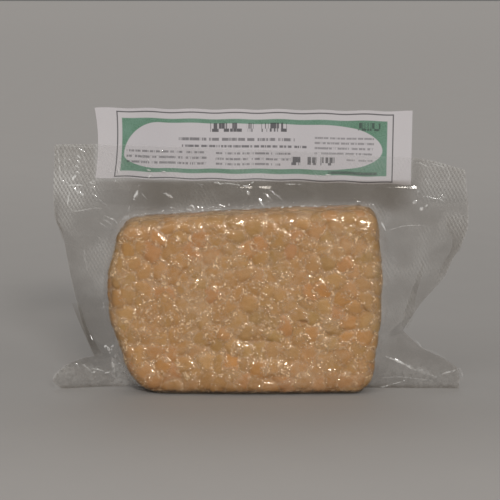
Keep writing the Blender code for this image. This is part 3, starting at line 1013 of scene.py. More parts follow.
@dataclass
class BeanBed:
    """Soybeans pressed together over the cake's skin: how they lie, and the relief that they give it."""

    spacing: float = 0.0056
    long_half: tuple[float, float] = (0.0043, 0.0060)
    short_half: tuple[float, float] = (0.0033, 0.0044)
    depth: float = 0.00060
    lift: float = 0.00013
    tilt: float = 0.065
    roundness: float = 4.0
    nearest: int = 7
    blend: float = 0.00009
    bed_drop: float = 0.00080
    bend: float = 0.0010
    crease_reach: float = 0.00022
    border_reach: float = 0.00065
    half_thick: float = 0.0034
    bend_size: float = 0.0042
    bed_lumps: tuple = ((0.00028, 0.0021, 5), (0.00045, 0.0090, 6))  # height, width and seed
    bed_edge: float = 0.00025
    skin_lumps: tuple = (0.00010, 0.0016, 8)
    limits: tuple[float, float] = (-0.0016, 0.0005)
    batch: int = 4000
    seed: int = 41

    def scatter(self, points: Array, normals: Array) -> None:
        """Places the beans' middles over the skin, none nearer to another than the spacing.

        Args:
            points: the skin's points.
            normals: its unit normals.
        """
        random = np.random.default_rng(self.seed)
        taken: dict[tuple[int, int, int], list[int]] = {}
        chosen: list[int] = []
        for index in random.permutation(len(points)):
            place = points[index]
            cell = tuple(int(v) for v in np.floor(place / self.spacing))
            near = False
            for step in np.ndindex(3, 3, 3):
                key = (cell[0] + step[0] - 1, cell[1] + step[1] - 1, cell[2] + step[2] - 1)
                for other in taken.get(key, ()):
                    gap = points[other] - place
                    if gap @ gap < self.spacing**2:
                        near = True
                        break
                if near:
                    break
            if not near:
                taken.setdefault(cell, []).append(int(index))
                chosen.append(int(index))
        count = len(chosen)
        self.spots = points[chosen]
        self.normals = normals[chosen]
        turn = random.uniform(0, 2 * math.pi, count)
        helper = np.cross(self.normals, [0.31, 0.22, 0.93])
        helper /= np.linalg.norm(helper, axis=1)[:, None]
        other = np.cross(self.normals, helper)
        self.along = np.cos(turn)[:, None] * helper + np.sin(turn)[:, None] * other
        self.across = np.cross(self.normals, self.along)
        self.long = random.uniform(*self.long_half, count)
        self.short = random.uniform(*self.short_half, count)
        self.lifts = self.lift * random.normal(0.0, 1.0, count)
        self.tilts = self.tilt * random.normal(0.0, 1.0, (count, 2))
        self.tones = random.random(count)
        LOG.info("bean bed: %d beans", count)

    def relief(self, points: Array) -> tuple[Array, Array, Array]:
        """The relief over the skin, and what the cake's material reads of it.

        Args:
            points: places on the smooth skin.

        Returns:
            Heights along the normal, marks (the bean's tone, how far into a crease, and how much bloom), and
            how far a place lies between beans.
        """
        heights = np.zeros(len(points))
        marks = np.zeros((len(points), 3))
        borders = np.zeros(len(points))
        bent = points.copy()
        for axis in range(3):
            bent[:, axis] += self.bend * lattice_noise(points, self.bend_size, 61 + axis)
        for start in range(0, len(points), self.batch):
            rows = slice(start, start + self.batch)
            part = bent[rows]
            gaps = np.linalg.norm(part[:, None] - self.spots[None], axis=2)
            near = np.argpartition(gaps, self.nearest, axis=1)[:, : self.nearest]
            reach = part[:, None] - self.spots[near]
            u = np.einsum("pki,pki->pk", reach, self.along[near])
            v = np.einsum("pki,pki->pk", reach, self.across[near])
            w = np.einsum("pki,pki->pk", reach, self.normals[near])
            flat = (u / self.long[near]) ** 2 + (v / self.short[near]) ** 2
            round_ = np.sqrt(flat + (w / self.half_thick) ** 2)
            tops = self.lifts[near] + self.tilts[near, 0] * u + self.tilts[near, 1] * v
            tops -= self.depth * np.minimum(round_, 2.0) ** self.roundness
            best = tops.max(axis=1)
            weights = np.exp((tops - best[:, None]) / self.blend)
            merged = best + self.blend * np.log(weights.sum(axis=1))
            second = np.partition(tops, -2, axis=1)[:, -2]
            marks[rows, 0] = (weights * self.tones[near]).sum(axis=1) / weights.sum(axis=1)
            marks[rows, 1] = np.exp(-(best - second) / self.crease_reach)
            borders[rows] = np.exp(-(best - second) / self.border_reach)
            heights[rows] = merged
        bed = np.full(len(points), -self.bed_drop)
        for height, size, seed in self.bed_lumps:
            bed += height * lattice_noise(points, size, seed)
        share = smoothstep(-self.bed_edge, self.bed_edge, bed - heights)
        marks[:, 2] = share
        heights = heights * (1 - share) + bed * share
        height, *lumps = self.skin_lumps
        heights += height * lattice_noise(points, *lumps)
        return np.clip(heights, *self.limits), marks, np.maximum(borders, share)


@dataclass
class Cake:
    """The pressed tempeh cake."""

    form: CakeForm
    beds: BeanBed
    base_gap: float = 0.0004
    flat_from: float = 0.0002
    full_relief: float = 0.0022
    slit: tuple[float, float] = (0.0197, 0.0335)  # an open crease in the front with painted shade in it, x and z
    slit_half: tuple[float, float] = (0.0021, 0.0007)

    def build(self) -> tuple[Shell, Array, Array, Array]:
        """Builds the cake's piece.

        Returns:
            The smooth shell, its unit normals, the beans' heights over it, and how far between beans each
            point lies.
        """
        shell = self.form.shell()
        normals = mesh_normals(shell.points, shell.quads)
        if np.einsum("ij,ij->i", normals, shell.points - shell.points.mean(axis=0)).mean() < 0:
            shell.quads = shell.quads[:, ::-1]
            normals = -normals
        self.beds.scatter(shell.points, normals)
        heights, marks, borders = self.beds.relief(shell.points)
        ease = smoothstep(self.flat_from, self.full_relief, shell.points[:, 2])
        heights *= ease
        place = shell.points[:, (0, 2)] - self.slit
        hole = np.exp(-((place[:, 0] / self.slit_half[0]) ** 4) - (place[:, 1] / self.slit_half[1]) ** 2)
        hole *= shell.points[:, 1] < -0.008
        points = shell.points + (heights - 0.0019 * hole)[:, None] * normals
        # the slit takes the creases' painted shade
        marks[:, 1] = np.maximum(marks[:, 1], hole)
        points[:, 2] = np.maximum(points[:, 2], self.base_gap)
        marks[:, 2] = np.where(hole > 0.3, 0.0, marks[:, 2])
        piece = make_piece("tempeh_cake_mass", points, shell.quads, {"bean_marks": marks})
        # painted shade round the cake's rounded rim, in patches
        patchy_share = np.zeros(len(points))
        levels = np.arange(len(shell.rings)) / (len(shell.rings) - 1)
        patchy_share[shell.rings] = smoothstep(0.02, 0.28, 0.5 - np.abs(levels - 0.5))[:, None]
        patchy_share *= 0.75 + 0.35 * lattice_noise(shell.points, 0.010, 45)
        rim = piece.data.attributes.new("rim", "FLOAT", "POINT")
        rim.data.foreach_set("value", np.clip(patchy_share, 0.0, 1.0).astype(np.float32))
        piece.data.materials.append(TempehFinish().material())
        settle(piece, "tempeh", "tempeh_cake")
        return shell, normals, heights, borders


# ---------------------------------------------------------------- the bag's film


LABEL_WAVE_DEPTH, LABEL_WAVE_LENGTH = 0.0014, 0.0800
LABEL_WAVE_RANGE = 0.0862, 0.0958  # the heights from which it starts and is full


def label_wave(x: Array, z: Array) -> Array:
    """How far the label, and the film that holds it, lie behind the bag's middle plane."""
    swing = np.sin(2 * math.pi * x / LABEL_WAVE_LENGTH + 0.7)
    swing = swing + 0.20 * np.sin(4.6 * math.pi * x / LABEL_WAVE_LENGTH)
    return LABEL_WAVE_DEPTH * swing * smoothstep(*LABEL_WAVE_RANGE, z)


# Pinched creases of the film: x and z of each point in tenths of a millimetre, then how wide in hundredths of
# a millimetre, and how white in hundredths. The white is a painted highlight of each crease's glint.
CREASES = (
    (-841, 1133, -827, 1122, -813, 1117, 100, 90), (-851, 1101, -842, 1093, -833, 1084, 88, 80),
    (-851, 1077, -843, 1070, -835, 1062, 94, 95), (-861, 1042, -850, 1047, -840, 1040, 101, 100),
    (-860, 1014, -849, 1022, -839, 1014, 101, 100), (-876, 979, -867, 993, -850, 1009, 160, 100),
    (-886, 1082, -881, 1076, 94, 80), (-889, 1052, -884, 1049, 94, 60),
    (-825, 1105, -810, 1063, -800, 1012, 92, 30), (-904, 1124, -907, 1059, -904, 993, 92, 20),
    (-939, 1148, -933, 1077, -927, 977, 86, 42), (-927, 979, -902, 973, -879, 960, 69, 35),
    (-894, 957, -861, 960, -821, 959, 74, 95), (-870, 947, -854, 936, -838, 923, -825, 913, 130, 80),
    (-835, 922, -822, 912, 190, 100), (-887, 928, -892, 900, -898, 867, 81, 85),
    (-899, 867, -870, 839, -821, 844, -770, 853, -728, 849, 69, 30),
    (-759, 900, -727, 876, -695, 843, 69, 22), (-730, 820, -705, 808, -682, 798, -666, 782, 81, 75),
    (-738, 801, -710, 789, -689, 773, 110, 50), (-752, 787, -729, 772, -710, 758, 80, 35),
    (-800, 975, -786, 971, -768, 964, 81, 60), (-791, 956, -779, 949, -767, 935, 69, 42),
    (-788, 978, -768, 978, 80, 55), (-787, 923, -773, 914, -759, 903, 57, 35),
    (-940, 1147, -880, 1142, -815, 1138, -755, 1136, 57, 22), (-824, 664, -822, 616, -810, 554, 103, 20),
    (-762, 720, -735, 697, 57, 18), (-777, 697, -745, 673, 57, 18), (-768, 668, -740, 649, 57, 15),
    (-466, 1126, -452, 1117, 108, 85), (-524, 1082, -511, 1068, 80, 55), (-530, 1033, -504, 1029, 81, 85),
    (-460, 1028, -435, 1024, 81, 80), (-521, 996, -507, 1007, 122, 90), (-534, 1059, -525, 1040, 69, 45),
    (-506, 1054, -499, 1040, 69, 50), (-552, 1098, -529, 1091, 57, 35), (-450, 1101, -432, 1090, 57, 40),
    (-511, 1021, -497, 1013, 68, 60), (253, 1009, 262, 1008, 94, 95), (276, 1005, 283, 1005, 81, 80),
    (301, 1009, 329, 1008, 81, 90), (-664, 1077, -645, 1073, 57, 30), (-691, 1115, -673, 1096, 57, 25),
    (-715, 1031, -688, 1021, 57, 25), (-659, 1040, -658, 1007, 57, 50),
    (-214, 974, -196, 973, -182, 965, 108, 95), (-200, 968, -149, 970, -103, 963, 68, 60),
    (-112, 965, -93, 961, 94, 80), (-80, 959, -62, 955, -47, 965, 108, 100), (-47, 967, -28, 977, 81, 65),
    (-63, 935, -54, 923, -49, 912, 190, 90), (-10, 897, 4, 883, 17, 862, 150, 65),
    (-147, 876, -142, 862, 100, 75), (41, 937, 79, 911, 111, 883, 57, 25), (18, 923, 55, 890, 57, 18),
    (116, 964, 139, 963, 167, 964, 81, 85), (171, 963, 199, 965, 57, 40), (-293, 970, -261, 963, 57, 35),
    (-279, 961, -266, 951, 57, 40), (-589, 898, -577, 916, -570, 935, 190, 85),
    (-582, 897, -589, 890, 150, 80), (-572, 951, -558, 965, 57, 45),
    (-563, 937, -545, 914, -527, 895, 57, 30), (-606, 871, -616, 834, 69, 30),
    (-452, 923, -429, 920, 69, 50), (-443, 926, -427, 915, -406, 900, 170, 70),
    (-331, 862, -317, 864, -303, 851, 108, 65), (-345, 850, -317, 843, 57, 50),
    (-676, 984, -670, 973, 122, 85), (-369, 838, -359, 839, 68, 70), (-219, 846, -178, 849, 61, 75),
    (-80, 849, -42, 851, 61, 75), (-150, 842, -136, 846, 57, 40), (97, 858, 111, 861, 68, 80),
    (130, 860, 149, 862, 68, 60), (186, 864, 209, 865, 68, 60), (247, 864, 270, 865, 61, 80),
    (289, 862, 312, 863, 61, 60), (-275, 843, -261, 845, 68, 70), (37, 855, 51, 857, 57, 50),
    (732, 939, 739, 926, 160, 55), (711, 874, 721, 883, 731, 887, 200, 85),
    (743, 845, 752, 849, 762, 853, 240, 85), (769, 859, 780, 869, 108, 60),
    (704, 1064, 741, 1063, 769, 1049, 793, 1040, 57, 40), (792, 1061, 834, 1049, 867, 1035, 52, 30),
    (867, 1040, 882, 1003, 869, 975, 57, 22), (562, 792, 574, 772, 586, 746, 108, 85),
    (586, 746, 626, 756, 672, 768, 728, 771, 780, 769, 52, 40), (758, 909, 791, 902, 824, 895, 57, 45),
    (819, 895, 842, 893, 861, 876, 69, 45), (766, 993, 785, 961, 57, 30), (842, 914, 870, 895, 57, 30),
    (609, 630, 643, 597, 57, 20), (591, 146, 612, 140, 636, 130, 100, 55),
    (631, 134, 660, 122, 686, 110, 150, 85), (684, 112, 713, 98, 741, 85, 170, 55),
    (737, 92, 780, 81, 806, 63, 220, 32), (808, 67, 828, 59, 842, 54, 92, 45),
    (851, 63, 879, 76, 912, 85, 941, 98, 100, 62), (943, 101, 956, 74, 959, 47, 80, 30),
    (572, 4, 595, 9, 610, 14, 108, 95), (610, 14, 648, 25, 685, 36, 57, 40), (678, 36, 688, 38, 81, 90),
    (571, 49, 666, 54, 761, 45, 828, 40, 57, 30), (736, 224, 753, 204, 768, 183, 69, 28),
    (768, 183, 815, 172, 883, 137, 57, 22), (-741, 398, -734, 401, 130, 100),
    (-731, 405, -722, 422, 69, 55), (-740, 386, -731, 376, 180, 35), (-738, 193, -726, 184, 200, 100),
    (-724, 176, -711, 182, 260, 95), (-707, 186, -692, 198, 108, 85), (-712, 166, -709, 157, 108, 75),
    (-698, 180, -708, 172, 108, 70), (-982, 33, -977, 54, -959, 79, -930, 98, 103, 25),
    (-984, 38, -970, 16, -947, 4, 69, 22), (-844, 112, -821, 99, -800, 80, 80, 32),
    (-799, 76, -779, 77, 81, 85), (-800, 94, -769, 88, -734, 80, 69, 42), (-736, 72, -714, 76, 81, 85),
    (-775, 92, -764, 88, 94, 70), (-877, 117, -854, 98, 92, 22), (-699, 142, -697, 110, -690, 74, 200, 34),
    (-679, 164, -688, 137, 120, 25), (-674, 251, -677, 197, -670, 142, 240, 22),
    (-666, 146, -650, 101, -622, 65, -589, 33, 300, 34), (-613, 51, -580, 23, -549, 4, 220, 46),
    (-650, 88, -632, 65, 108, 70), (-617, 60, -599, 44, 94, 60), (-589, 30, -570, 19, 108, 65),
    (-575, 14, -558, 7, 108, 60), (-667, 115, -670, 112, 100, 75), (362, 4, 386, 4, 415, 4, 160, 42),
    (381, 5, 400, 4, 94, 75), (418, 4, 434, 4, 108, 70), (434, 4, 457, 19, 476, 42, 140, 30),
    (353, 7, 369, 4, 81, 60),
)


@dataclass
class BagForm:
    """The bag's edge from ear to ear, and how the film runs out to it, from the CAD's own sizes."""

    left_ear: tuple = (
        (-0.0938, -0.0010, 0.0000),
        (-0.0979, -0.0026, 0.0042),
        (-0.0930, -0.0022, 0.0102),
        (-0.0860, -0.0008, 0.0132),
        (-0.0785, 0.0000, 0.0148),
    )
    left_margin: tuple = (
        (-0.0785, 0.0000, 0.0148),
        (-0.0835, 0.0036, 0.0262),
        (-0.0893, 0.0046, 0.0510),
        (-0.0926, 0.0030, 0.0715),
        (-0.0962, 0.0012, 0.0830),
        (-0.0952, 0.0000, 0.1150),
    )
    mouth: tuple = (
        (-0.0952, 0.0000, 0.1150),
        (-0.0600, 0.0000, 0.1148),
        (0.0100, 0.0000, 0.1122),
        (0.0650, 0.0000, 0.1092),
        (0.0800, 0.0000, 0.1072),
        (0.0954, 0.0000, 0.1030),
    )
    right_margin: tuple = (
        (0.0954, 0.0000, 0.1030),
        (0.0974, 0.0016, 0.0770),
        (0.0915, 0.0048, 0.0610),
        (0.0868, 0.0058, 0.0505),
        (0.0760, 0.0040, 0.0385),
        (0.0676, 0.0002, 0.0268),
    )
    right_ear: tuple = (
        (0.0676, 0.0002, 0.0268),
        (0.0765, -0.0008, 0.0190),
        (0.0880, -0.0022, 0.0135),
        (0.0938, -0.0030, 0.0090),
        (0.0948, -0.0012, 0.0000),
    )
    shares: tuple = (0.0, 0.062, 0.292, 0.708, 0.916, 1.0)
    curl_power: float = 1.6
    left_foot: float = -0.0535
    right_foot: float = 0.0450

    def edge(self, shares: Array) -> Array:
        """The bag's edge, round the cake from the left foot to the right foot.

        Args:
            shares: how far along it, from 0 to 1.

        Returns:
            The places there.
        """
        runs = (self.left_ear, self.left_margin, self.mouth, self.right_margin, self.right_ear)
        result = np.zeros((len(shares), 3))
        for k, run in enumerate(runs):
            low, high = self.shares[k : k + 2]
            picked = (shares >= low) & ((shares < high) | (k == len(runs) - 1))
            curve = resample(smooth_curve(run), 400)
            at = np.clip((shares[picked] - low) / (high - low), 0.0, 1.0) * 400
            for axis in range(3):
                result[picked, axis] = np.interp(at, np.arange(401), curve[:, axis])
        return result


@dataclass
class Film:
    """The bag: a front and a back film."""

    form: BagForm
    shell: Shell
    normals: Array
    beans: Array
    borders: Array
    material: bpy.types.Material
    clearance: float = 0.00022
    drapes: int = 26
    margin_rows: int = 56
    web_level: int = 20
    web_reach: float = 0.0019
    sheet_half: float = 0.00013
    pocket_half: float = 0.00070
    label_ends: tuple[float, float] = (-0.0778, 0.0713)
    label_foot: float = 0.0962
    pocket_ease: float = 0.0050
    base_gap: float = 0.0001
    slack_range: tuple[float, float] = (0.09, 0.50)
    web_haze: float = 0.20
    web_haze_reach: float = 0.0022
    cling: float = 0.8  # how much of the cake's colour the film takes past the cake's edge
    cling_reach: float = 0.0009
    crease_height: float = 0.00006
    crease_reach: float = 0.0011
    shade: float = 0.42
    mouth_shade: float = 0.55  # how much darker the film is between the cake and the label, as a painted shadow,
    label_shade: float = 0.40  # how much clearer over the label,
    foot_shade: float = 0.42  # and how much darker where it meets the table, as a painted shadow
    mouth_z: tuple[float, float, float, float] = (0.080, 0.088, 0.0975, 0.0990)
    mouth_x: tuple[float, float, float, float] = (-0.070, -0.045, 0.058, 0.076)
    label_z: tuple[float, float] = (0.0965, 0.0990)
    label_x: tuple[float, float, float, float] = (-0.0774, -0.0764, 0.0700, 0.0710)
    # x, z, half width, half height and whiteness of the film's milky spots
    milky_spots: tuple = (
        (-0.0635, 0.0075, 0.0070, 0.0080, 0.10),
        (-0.0867, 0.1050, 0.0100, 0.0095, 0.07),
    )
    web_spot: tuple = (-0.0640, 0.0110, 0.0110, 0.0130, 1.6)
    ear_haze: float = 0.10
    edge_haze: tuple[float, float] = (0.12, 0.03)  # of the outermost row of points and of the next

    def drape(self) -> Array:
        """Lays the film over the beans: it rests on their tops and sags between them.

        Returns:
            How far it lies above the smooth skin.
        """
        lowest = self.beans + self.clearance
        sag = lowest.copy()
        quads = self.shell.quads
        for _ in range(self.drapes):
            total = np.zeros_like(sag)
            count = np.zeros_like(sag)
            for k in range(4):
                for other in (quads[:, (k + 1) % 4], quads[:, k - 1]):
                    np.add.at(total, quads[:, k], sag[other])
                    np.add.at(count, quads[:, k], 1.0)
            sag = np.maximum(lowest, 0.15 * lowest + 0.85 * total / count)
        ripple = lattice_noise(self.shell.points, 0.0034, 21)
        fold = np.clip(1.0 - np.abs(ripple) / 0.10, 0.0, 1.0) ** 1.5
        patch = smoothstep(-0.10, 0.30, lattice_noise(self.shell.points, 0.0075, 22))
        stripe = np.abs(lattice_noise(self.shell.points, 0.0019, 23))
        return sag + 0.00014 * fold * patch + 0.00006 * stripe

    def foot_range(self) -> Array:
        """Finds where the film leaves the cake.

        Returns:
            The ring's stations from the left foot over the top to the right foot.
        """
        middle = self.shell.points[self.shell.rings[self.web_level]]
        low = middle[:, 2] < 0.02
        left = np.where(low, np.hypot(middle[:, 0] - self.form.left_foot, middle[:, 2]), 1.0)
        right = np.where(low, np.hypot(middle[:, 0] - self.form.right_foot, middle[:, 2]), 1.0)
        start, end, count = int(np.argmin(left)), int(np.argmin(right)), len(middle)
        return np.arange(start, end + 1 if end > start else end + 1 + count) % count

    def build_side(self, side: Side, heights: Array) -> Array:
        """Builds one of the two films.

        Args:
            side: which.
            heights: how far it lies above the cake's smooth skin.

        Returns:
            The margin's points.
        """
        shell, sign = self.shell, side.value
        skin = shell.points + heights[:, None] * self.normals
        skin[:, 2] = np.maximum(skin[:, 2], self.base_gap)
        rings = shell.rings if side is Side.FRONT else shell.rings[::-1]
        top = (len(rings) - 1) // 2
        used = [shell.faces[side].ravel(), rings[: top + 1].ravel()]
        keep = np.unique(np.concatenate(used))
        renumber = np.full(len(shell.points), -1)
        renumber[keep] = np.arange(len(keep))
        stations = self.foot_range()
        upper = set(rings[self.web_level + 1 : top + 1][:, stations].ravel().tolist())
        inside = (renumber[shell.quads] >= 0).all(axis=1)
        lifted = np.array([bool(upper.intersection(quad)) for quad in shell.quads[inside].tolist()])
        edge_quads = shell.quads[inside][~lifted]
        points = [skin[keep]]
        quads = [renumber[edge_quads]]
        near = skin[rings[self.web_level][stations]]
        steps = np.linalg.norm(np.diff(near[:, (0, 2)], axis=0), axis=1)
        shares = np.concatenate([[0.0], np.cumsum(steps)]) / steps.sum()
        far = self.form.edge(shares)
        reach = np.linalg.norm((far - near)[:, (0, 2)], axis=1)
        across = np.linspace(0.0, 1.0, self.margin_rows + 1)[1:] ** 1.25
        rows = [renumber[rings[self.web_level][stations]]]
        total = len(keep)
        grids, webs, clings = [], [], []
        for share in across:
            x = near[:, 0] + share * (far[:, 0] - near[:, 0])
            z = np.maximum(near[:, 2] + share * (far[:, 2] - near[:, 2]), self.base_gap)
            middle = far[:, 1] * share**self.form.curl_power + label_wave(x, z)
            half = self.half(x, z, share * reach, np.abs(near[:, 1]))
            grids.append(np.column_stack([x, middle + sign * half, z]))
            webs.append(np.exp(-share * reach / self.web_haze_reach))
            clings.append(self.cling * np.exp(-((share * reach / self.cling_reach) ** 2)))
            rows.append(total + np.arange(len(stations)))
            total += len(stations)
        margin = np.concatenate(grids)
        margin[:, 1] += self.margin_relief(margin, side)
        points.append(margin)
        rows = np.array(rows)
        strip = [rows[:-1, :-1], rows[1:, :-1], rows[1:, 1:], rows[:-1, 1:]]
        quads.append(np.stack(strip if side is Side.BACK else strip[::-1], axis=-1).reshape(-1, 4))
        points, quads = np.concatenate(points), np.concatenate(quads)
        marks = self.marks(points, len(keep), len(stations))
        marks[: len(keep), 2] = smoothstep(*self.slack_range, self.borders[keep])
        patchy = 0.6 + 0.7 * lattice_noise(margin, 0.0050, 74)
        webs = np.concatenate(webs)
        marks[len(keep) :, 1] *= 1 - 0.9 * webs
        webs *= self.web_haze * patchy * (1 + self.spot(margin[:, 0], margin[:, 2], *self.web_spot))
        marks[len(keep) :, 0] = np.concatenate(clings)
        marks[len(keep) :, 2] = np.clip(marks[len(keep) :, 2] + webs, 0.0, 1.0)
        LOG.info("%s film: %.2f slack", side.name.lower(), marks[: len(keep), 2].mean())
        piece = make_piece(f"film_{side.name.lower()}", points, quads, {"film_marks": marks})
        piece.data.materials.append(self.material)
        settle(piece, "clear_film", *(("vacuum_bag",) if side is Side.FRONT else ()))
        return margin

    def half(self, x: Array, z: Array, gone: Array, web: Array) -> Array:
        """Half the gap between the two films: wide at the cake and at the label, nearly closed elsewhere.

        Args:
            x: places in the margin, across.
            z: and up.
            gone: how far they are from the cake.
            web: how wide the gap is at the cake.

        Returns:
            Half the gap at each place.
        """
        loose = 1.0 + 0.45 * lattice_noise(np.column_stack([x, x * 0, z]), 0.0055, 73)
        half = self.sheet_half + (web - self.sheet_half) * np.exp(-((gone / (self.web_reach * loose)) ** 1.3))
        share = smoothstep(self.label_ends[0] - self.pocket_ease, self.label_ends[0], x)
        share *= 1 - smoothstep(self.label_ends[1], self.label_ends[1] + self.pocket_ease, x)
        share *= smoothstep(self.label_foot - self.pocket_ease / 2, self.label_foot, z)
        return np.maximum(half, self.sheet_half + (self.pocket_half - self.sheet_half) * share)

    def margin_relief(self, points: Array, side: Side) -> Array:
        """Creases, pinches and soft swells of the margins.

        Args:
            points: the margin's points.
            side: which film.

        Returns:
            How far back each point moves.
        """
        place = points[:, (0, 2)]
        relief = 0.00045 * lattice_noise(points * [1, 0, 1], 0.014, 31)
        relief += 0.00022 * lattice_noise(points * [1, 0, 0.55], 0.0052, 32)
        strength = 1.0 if side is Side.FRONT else 0.6
        for *path, _, white in CREASES:
            gone = distance_to_path(place, np.array(path).reshape(-1, 2) * 1e-4)
            relief -= strength * self.crease_height * white / 100 * np.exp(-((gone / self.crease_reach) ** 2))
        held = smoothstep(self.label_foot - 0.001, self.label_foot + 0.002, place[:, 1])
        held *= smoothstep(self.label_ends[0], self.label_ends[0] + 0.001, place[:, 0])
        held *= 1 - smoothstep(self.label_ends[1] - 0.001, self.label_ends[1], place[:, 0])
        inwards = 0.00035 * held + (1 - held) * 0.0020
        return np.clip(relief, *((-0.0020, inwards) if side is Side.FRONT else (-inwards, 0.0020)))

    @staticmethod
    def spot(x: Array, z: Array, at_x: float, at_z: float, wide: float, high: float, most: float) -> Array:
        """A soft round spot of a value.

        Args:
            x: places to judge, across.
            z: and up.
            at_x: the spot's middle, across.
            at_z: and up.
            wide: its half width.
            high: its half height.
            most: the value in its middle.

        Returns:
            The value at each place.
        """
        return most * np.exp(-(((x - at_x) / wide) ** 2) - ((z - at_z) / high) ** 2)

    def marks(self, points: Array, on_cake: int, stations: int) -> Array:
        """What the film's material reads: tautness over the cake, how dark it is with its painted shadows,
        and its whitened creases.

        Args:
            points: the film's points, the cake's skin first and then the margin, row by row.
            on_cake: how many lie on the cake.
            stations: how many make a row of the margin.

        Returns:
            Three values a point, between 0 and 1.
        """
        marks = np.zeros((len(points), 3))
        marks[:on_cake, 0] = 1.0
        place = points[:, (0, 2)]
        x, z = place[:, 0], place[:, 1]
        shade = self.shade + 0.07 * lattice_noise(points * [1, 0, 1], 0.016, 71)
        # painted shadows: darker between the cake and the label, and where the film meets the table
        shade += self.mouth_shade * plateau(*self.mouth_z, z) * plateau(*self.mouth_x, x)
        shade -= self.label_shade * smoothstep(*self.label_z, z) * plateau(*self.label_x, x)
        shade += self.foot_shade * (1 - smoothstep(0.0004, 0.0026, z))
        marks[on_cake:, 1] = np.clip(shade, 0.0, 1.0)[on_cake:]
        ears = (1 - smoothstep(0.004, 0.019, z)) * smoothstep(0.050, 0.068, np.abs(x + 0.004))
        whitened = self.ear_haze * ears * (0.6 + 0.4 * lattice_noise(points * [1, 0, 1], 0.006, 72))
        for spot in self.milky_spots:
            whitened += self.spot(x, z, *spot)
        whitened[:on_cake] = 0.0
        whitened[-stations:] += self.edge_haze[0]
        whitened[-2 * stations : -stations] += self.edge_haze[1]
        marks[:, 2] = np.clip(whitened, 0.0, 1.0)
        return marks

    def build(self) -> Array:
        """Builds both films and returns the front margin's points."""
        heights = self.drape()
        self.build_side(Side.BACK, heights)
        return self.build_side(Side.FRONT, heights)


@dataclass
class CreaseRidges:
    """The sharp ridges of the film's pinched creases, white with painted highlights."""

    step: float = 0.00035
    across: tuple = (-1.0, -0.5, 0.0, 0.5, 1.0)
    lift: float = 0.00010
    crown: tuple[float, float] = (0.12, 0.36)  # of the ridge's half width, on a faint and on a white one

    def build(self, margin: Array, material: bpy.types.Material) -> None:
        """Builds every ridge, in one piece.

        Args:
            margin: the front film's points off the cake, which the ridges stand on.
            material: the film's.
        """
        points, quads, marks = [], [], []
        total, wide = 0, len(self.across)
        for *path, width, white in CREASES:
            path = smooth_curve(np.array(path).reshape(-1, 2) * 1e-4)
            crown = self.crown[0] + (self.crown[1] - self.crown[0]) * smoothstep(0.78, 0.90, white / 100)
            length = float(np.linalg.norm(np.diff(path, axis=0), axis=1).sum())
            path = resample(path, max(3, round(length / self.step)))
            along = np.gradient(path, axis=0)
            along /= np.linalg.norm(along, axis=1)[:, None]
            shares = np.linspace(0.0, 1.0, len(path))
            taper = np.sqrt(np.sin(math.pi * (0.04 + 0.92 * shares)))
            for offset in self.across:
                half = width * 1e-5 / 2 * taper
                x = path[:, 0] - along[:, 1] * offset * half
                z = np.maximum(path[:, 1] + along[:, 0] * offset * half, 0.0003)
                gaps = np.hypot(x[:, None] - margin[None, :, 0], z[:, None] - margin[None, :, 2])
                near = np.argpartition(gaps, 4, axis=1)[:, :4]
                pull = 1 / (np.take_along_axis(gaps, near, axis=1) + 1e-5) ** 2
                y = (margin[near, 1] * pull).sum(axis=1) / pull.sum(axis=1)
                y -= self.lift + crown * half * (1 - offset**2)
                points.append(np.column_stack([x, y, z]))
                # painted highlight: each ridge's white, strongest along its crest
                marks.append(np.column_stack([0 * x, 0 * x, white / 100 * taper * (1 - offset**2)]))
            count = len(path)
            numbers = total + np.arange(wide * count).reshape(wide, count)
            quads.append(grid_quads(numbers))
            total += wide * count
        marks = {"film_marks": np.concatenate(marks)}
        piece = make_piece("film_creases", np.concatenate(points), np.concatenate(quads), marks)
        piece.data.materials.append(material)
        settle(piece, "clear_film")


@dataclass(frozen=True)
class FoldedStrip:
    """A strip of the bag's edge that is folded over the front film, between an outer and an inner line."""

    name: str
    outer: tuple  # x and z
    inner: tuple
    # how dark the strip is: painted shade
    shade: float
    gap: float = 0.0007


STRIPS = (
    FoldedStrip(
        "fold_left_foot",
        ((-0.0891, 0.0395), (-0.0855, 0.0299), (-0.0796, 0.0164), (-0.0777, 0.0142)),
        ((-0.0848, 0.0395), (-0.0827, 0.0299), (-0.0772, 0.0198), (-0.0737, 0.0154)),
        1.0,
    ),
    FoldedStrip(
        "fold_left_edge",
        ((-0.0955, 0.0850), (-0.0950, 0.0790), (-0.0938, 0.0745), (-0.0922, 0.0690)),
        ((-0.0953, 0.0850), (-0.0940, 0.0790), (-0.0926, 0.0745), (-0.0920, 0.0690)),
        0.75,
    ),
    FoldedStrip(
        "fold_right_edge",
        (
            *((0.0972, 0.0815), (0.0970, 0.0760), (0.0955, 0.0712), (0.0940, 0.0652)),
            *((0.0903, 0.0602), (0.0885, 0.0552), (0.0868, 0.0505)),
        ),
        (
            *((0.0868, 0.0815), (0.0872, 0.0758), (0.0902, 0.0700), (0.0895, 0.0640)),
            *((0.0862, 0.0580), (0.0842, 0.0535), (0.0838, 0.0500)),
        ),
        0.60,
    ),
    FoldedStrip(
        "fold_right_foot",
        ((0.0775, 0.0590), (0.0762, 0.0520), (0.0741, 0.0440), (0.0725, 0.0335), (0.0708, 0.0283)),
        ((0.0770, 0.0590), (0.0742, 0.0520), (0.0704, 0.0416), (0.0675, 0.0321), (0.0664, 0.0278)),
        0.60,
    ),
)


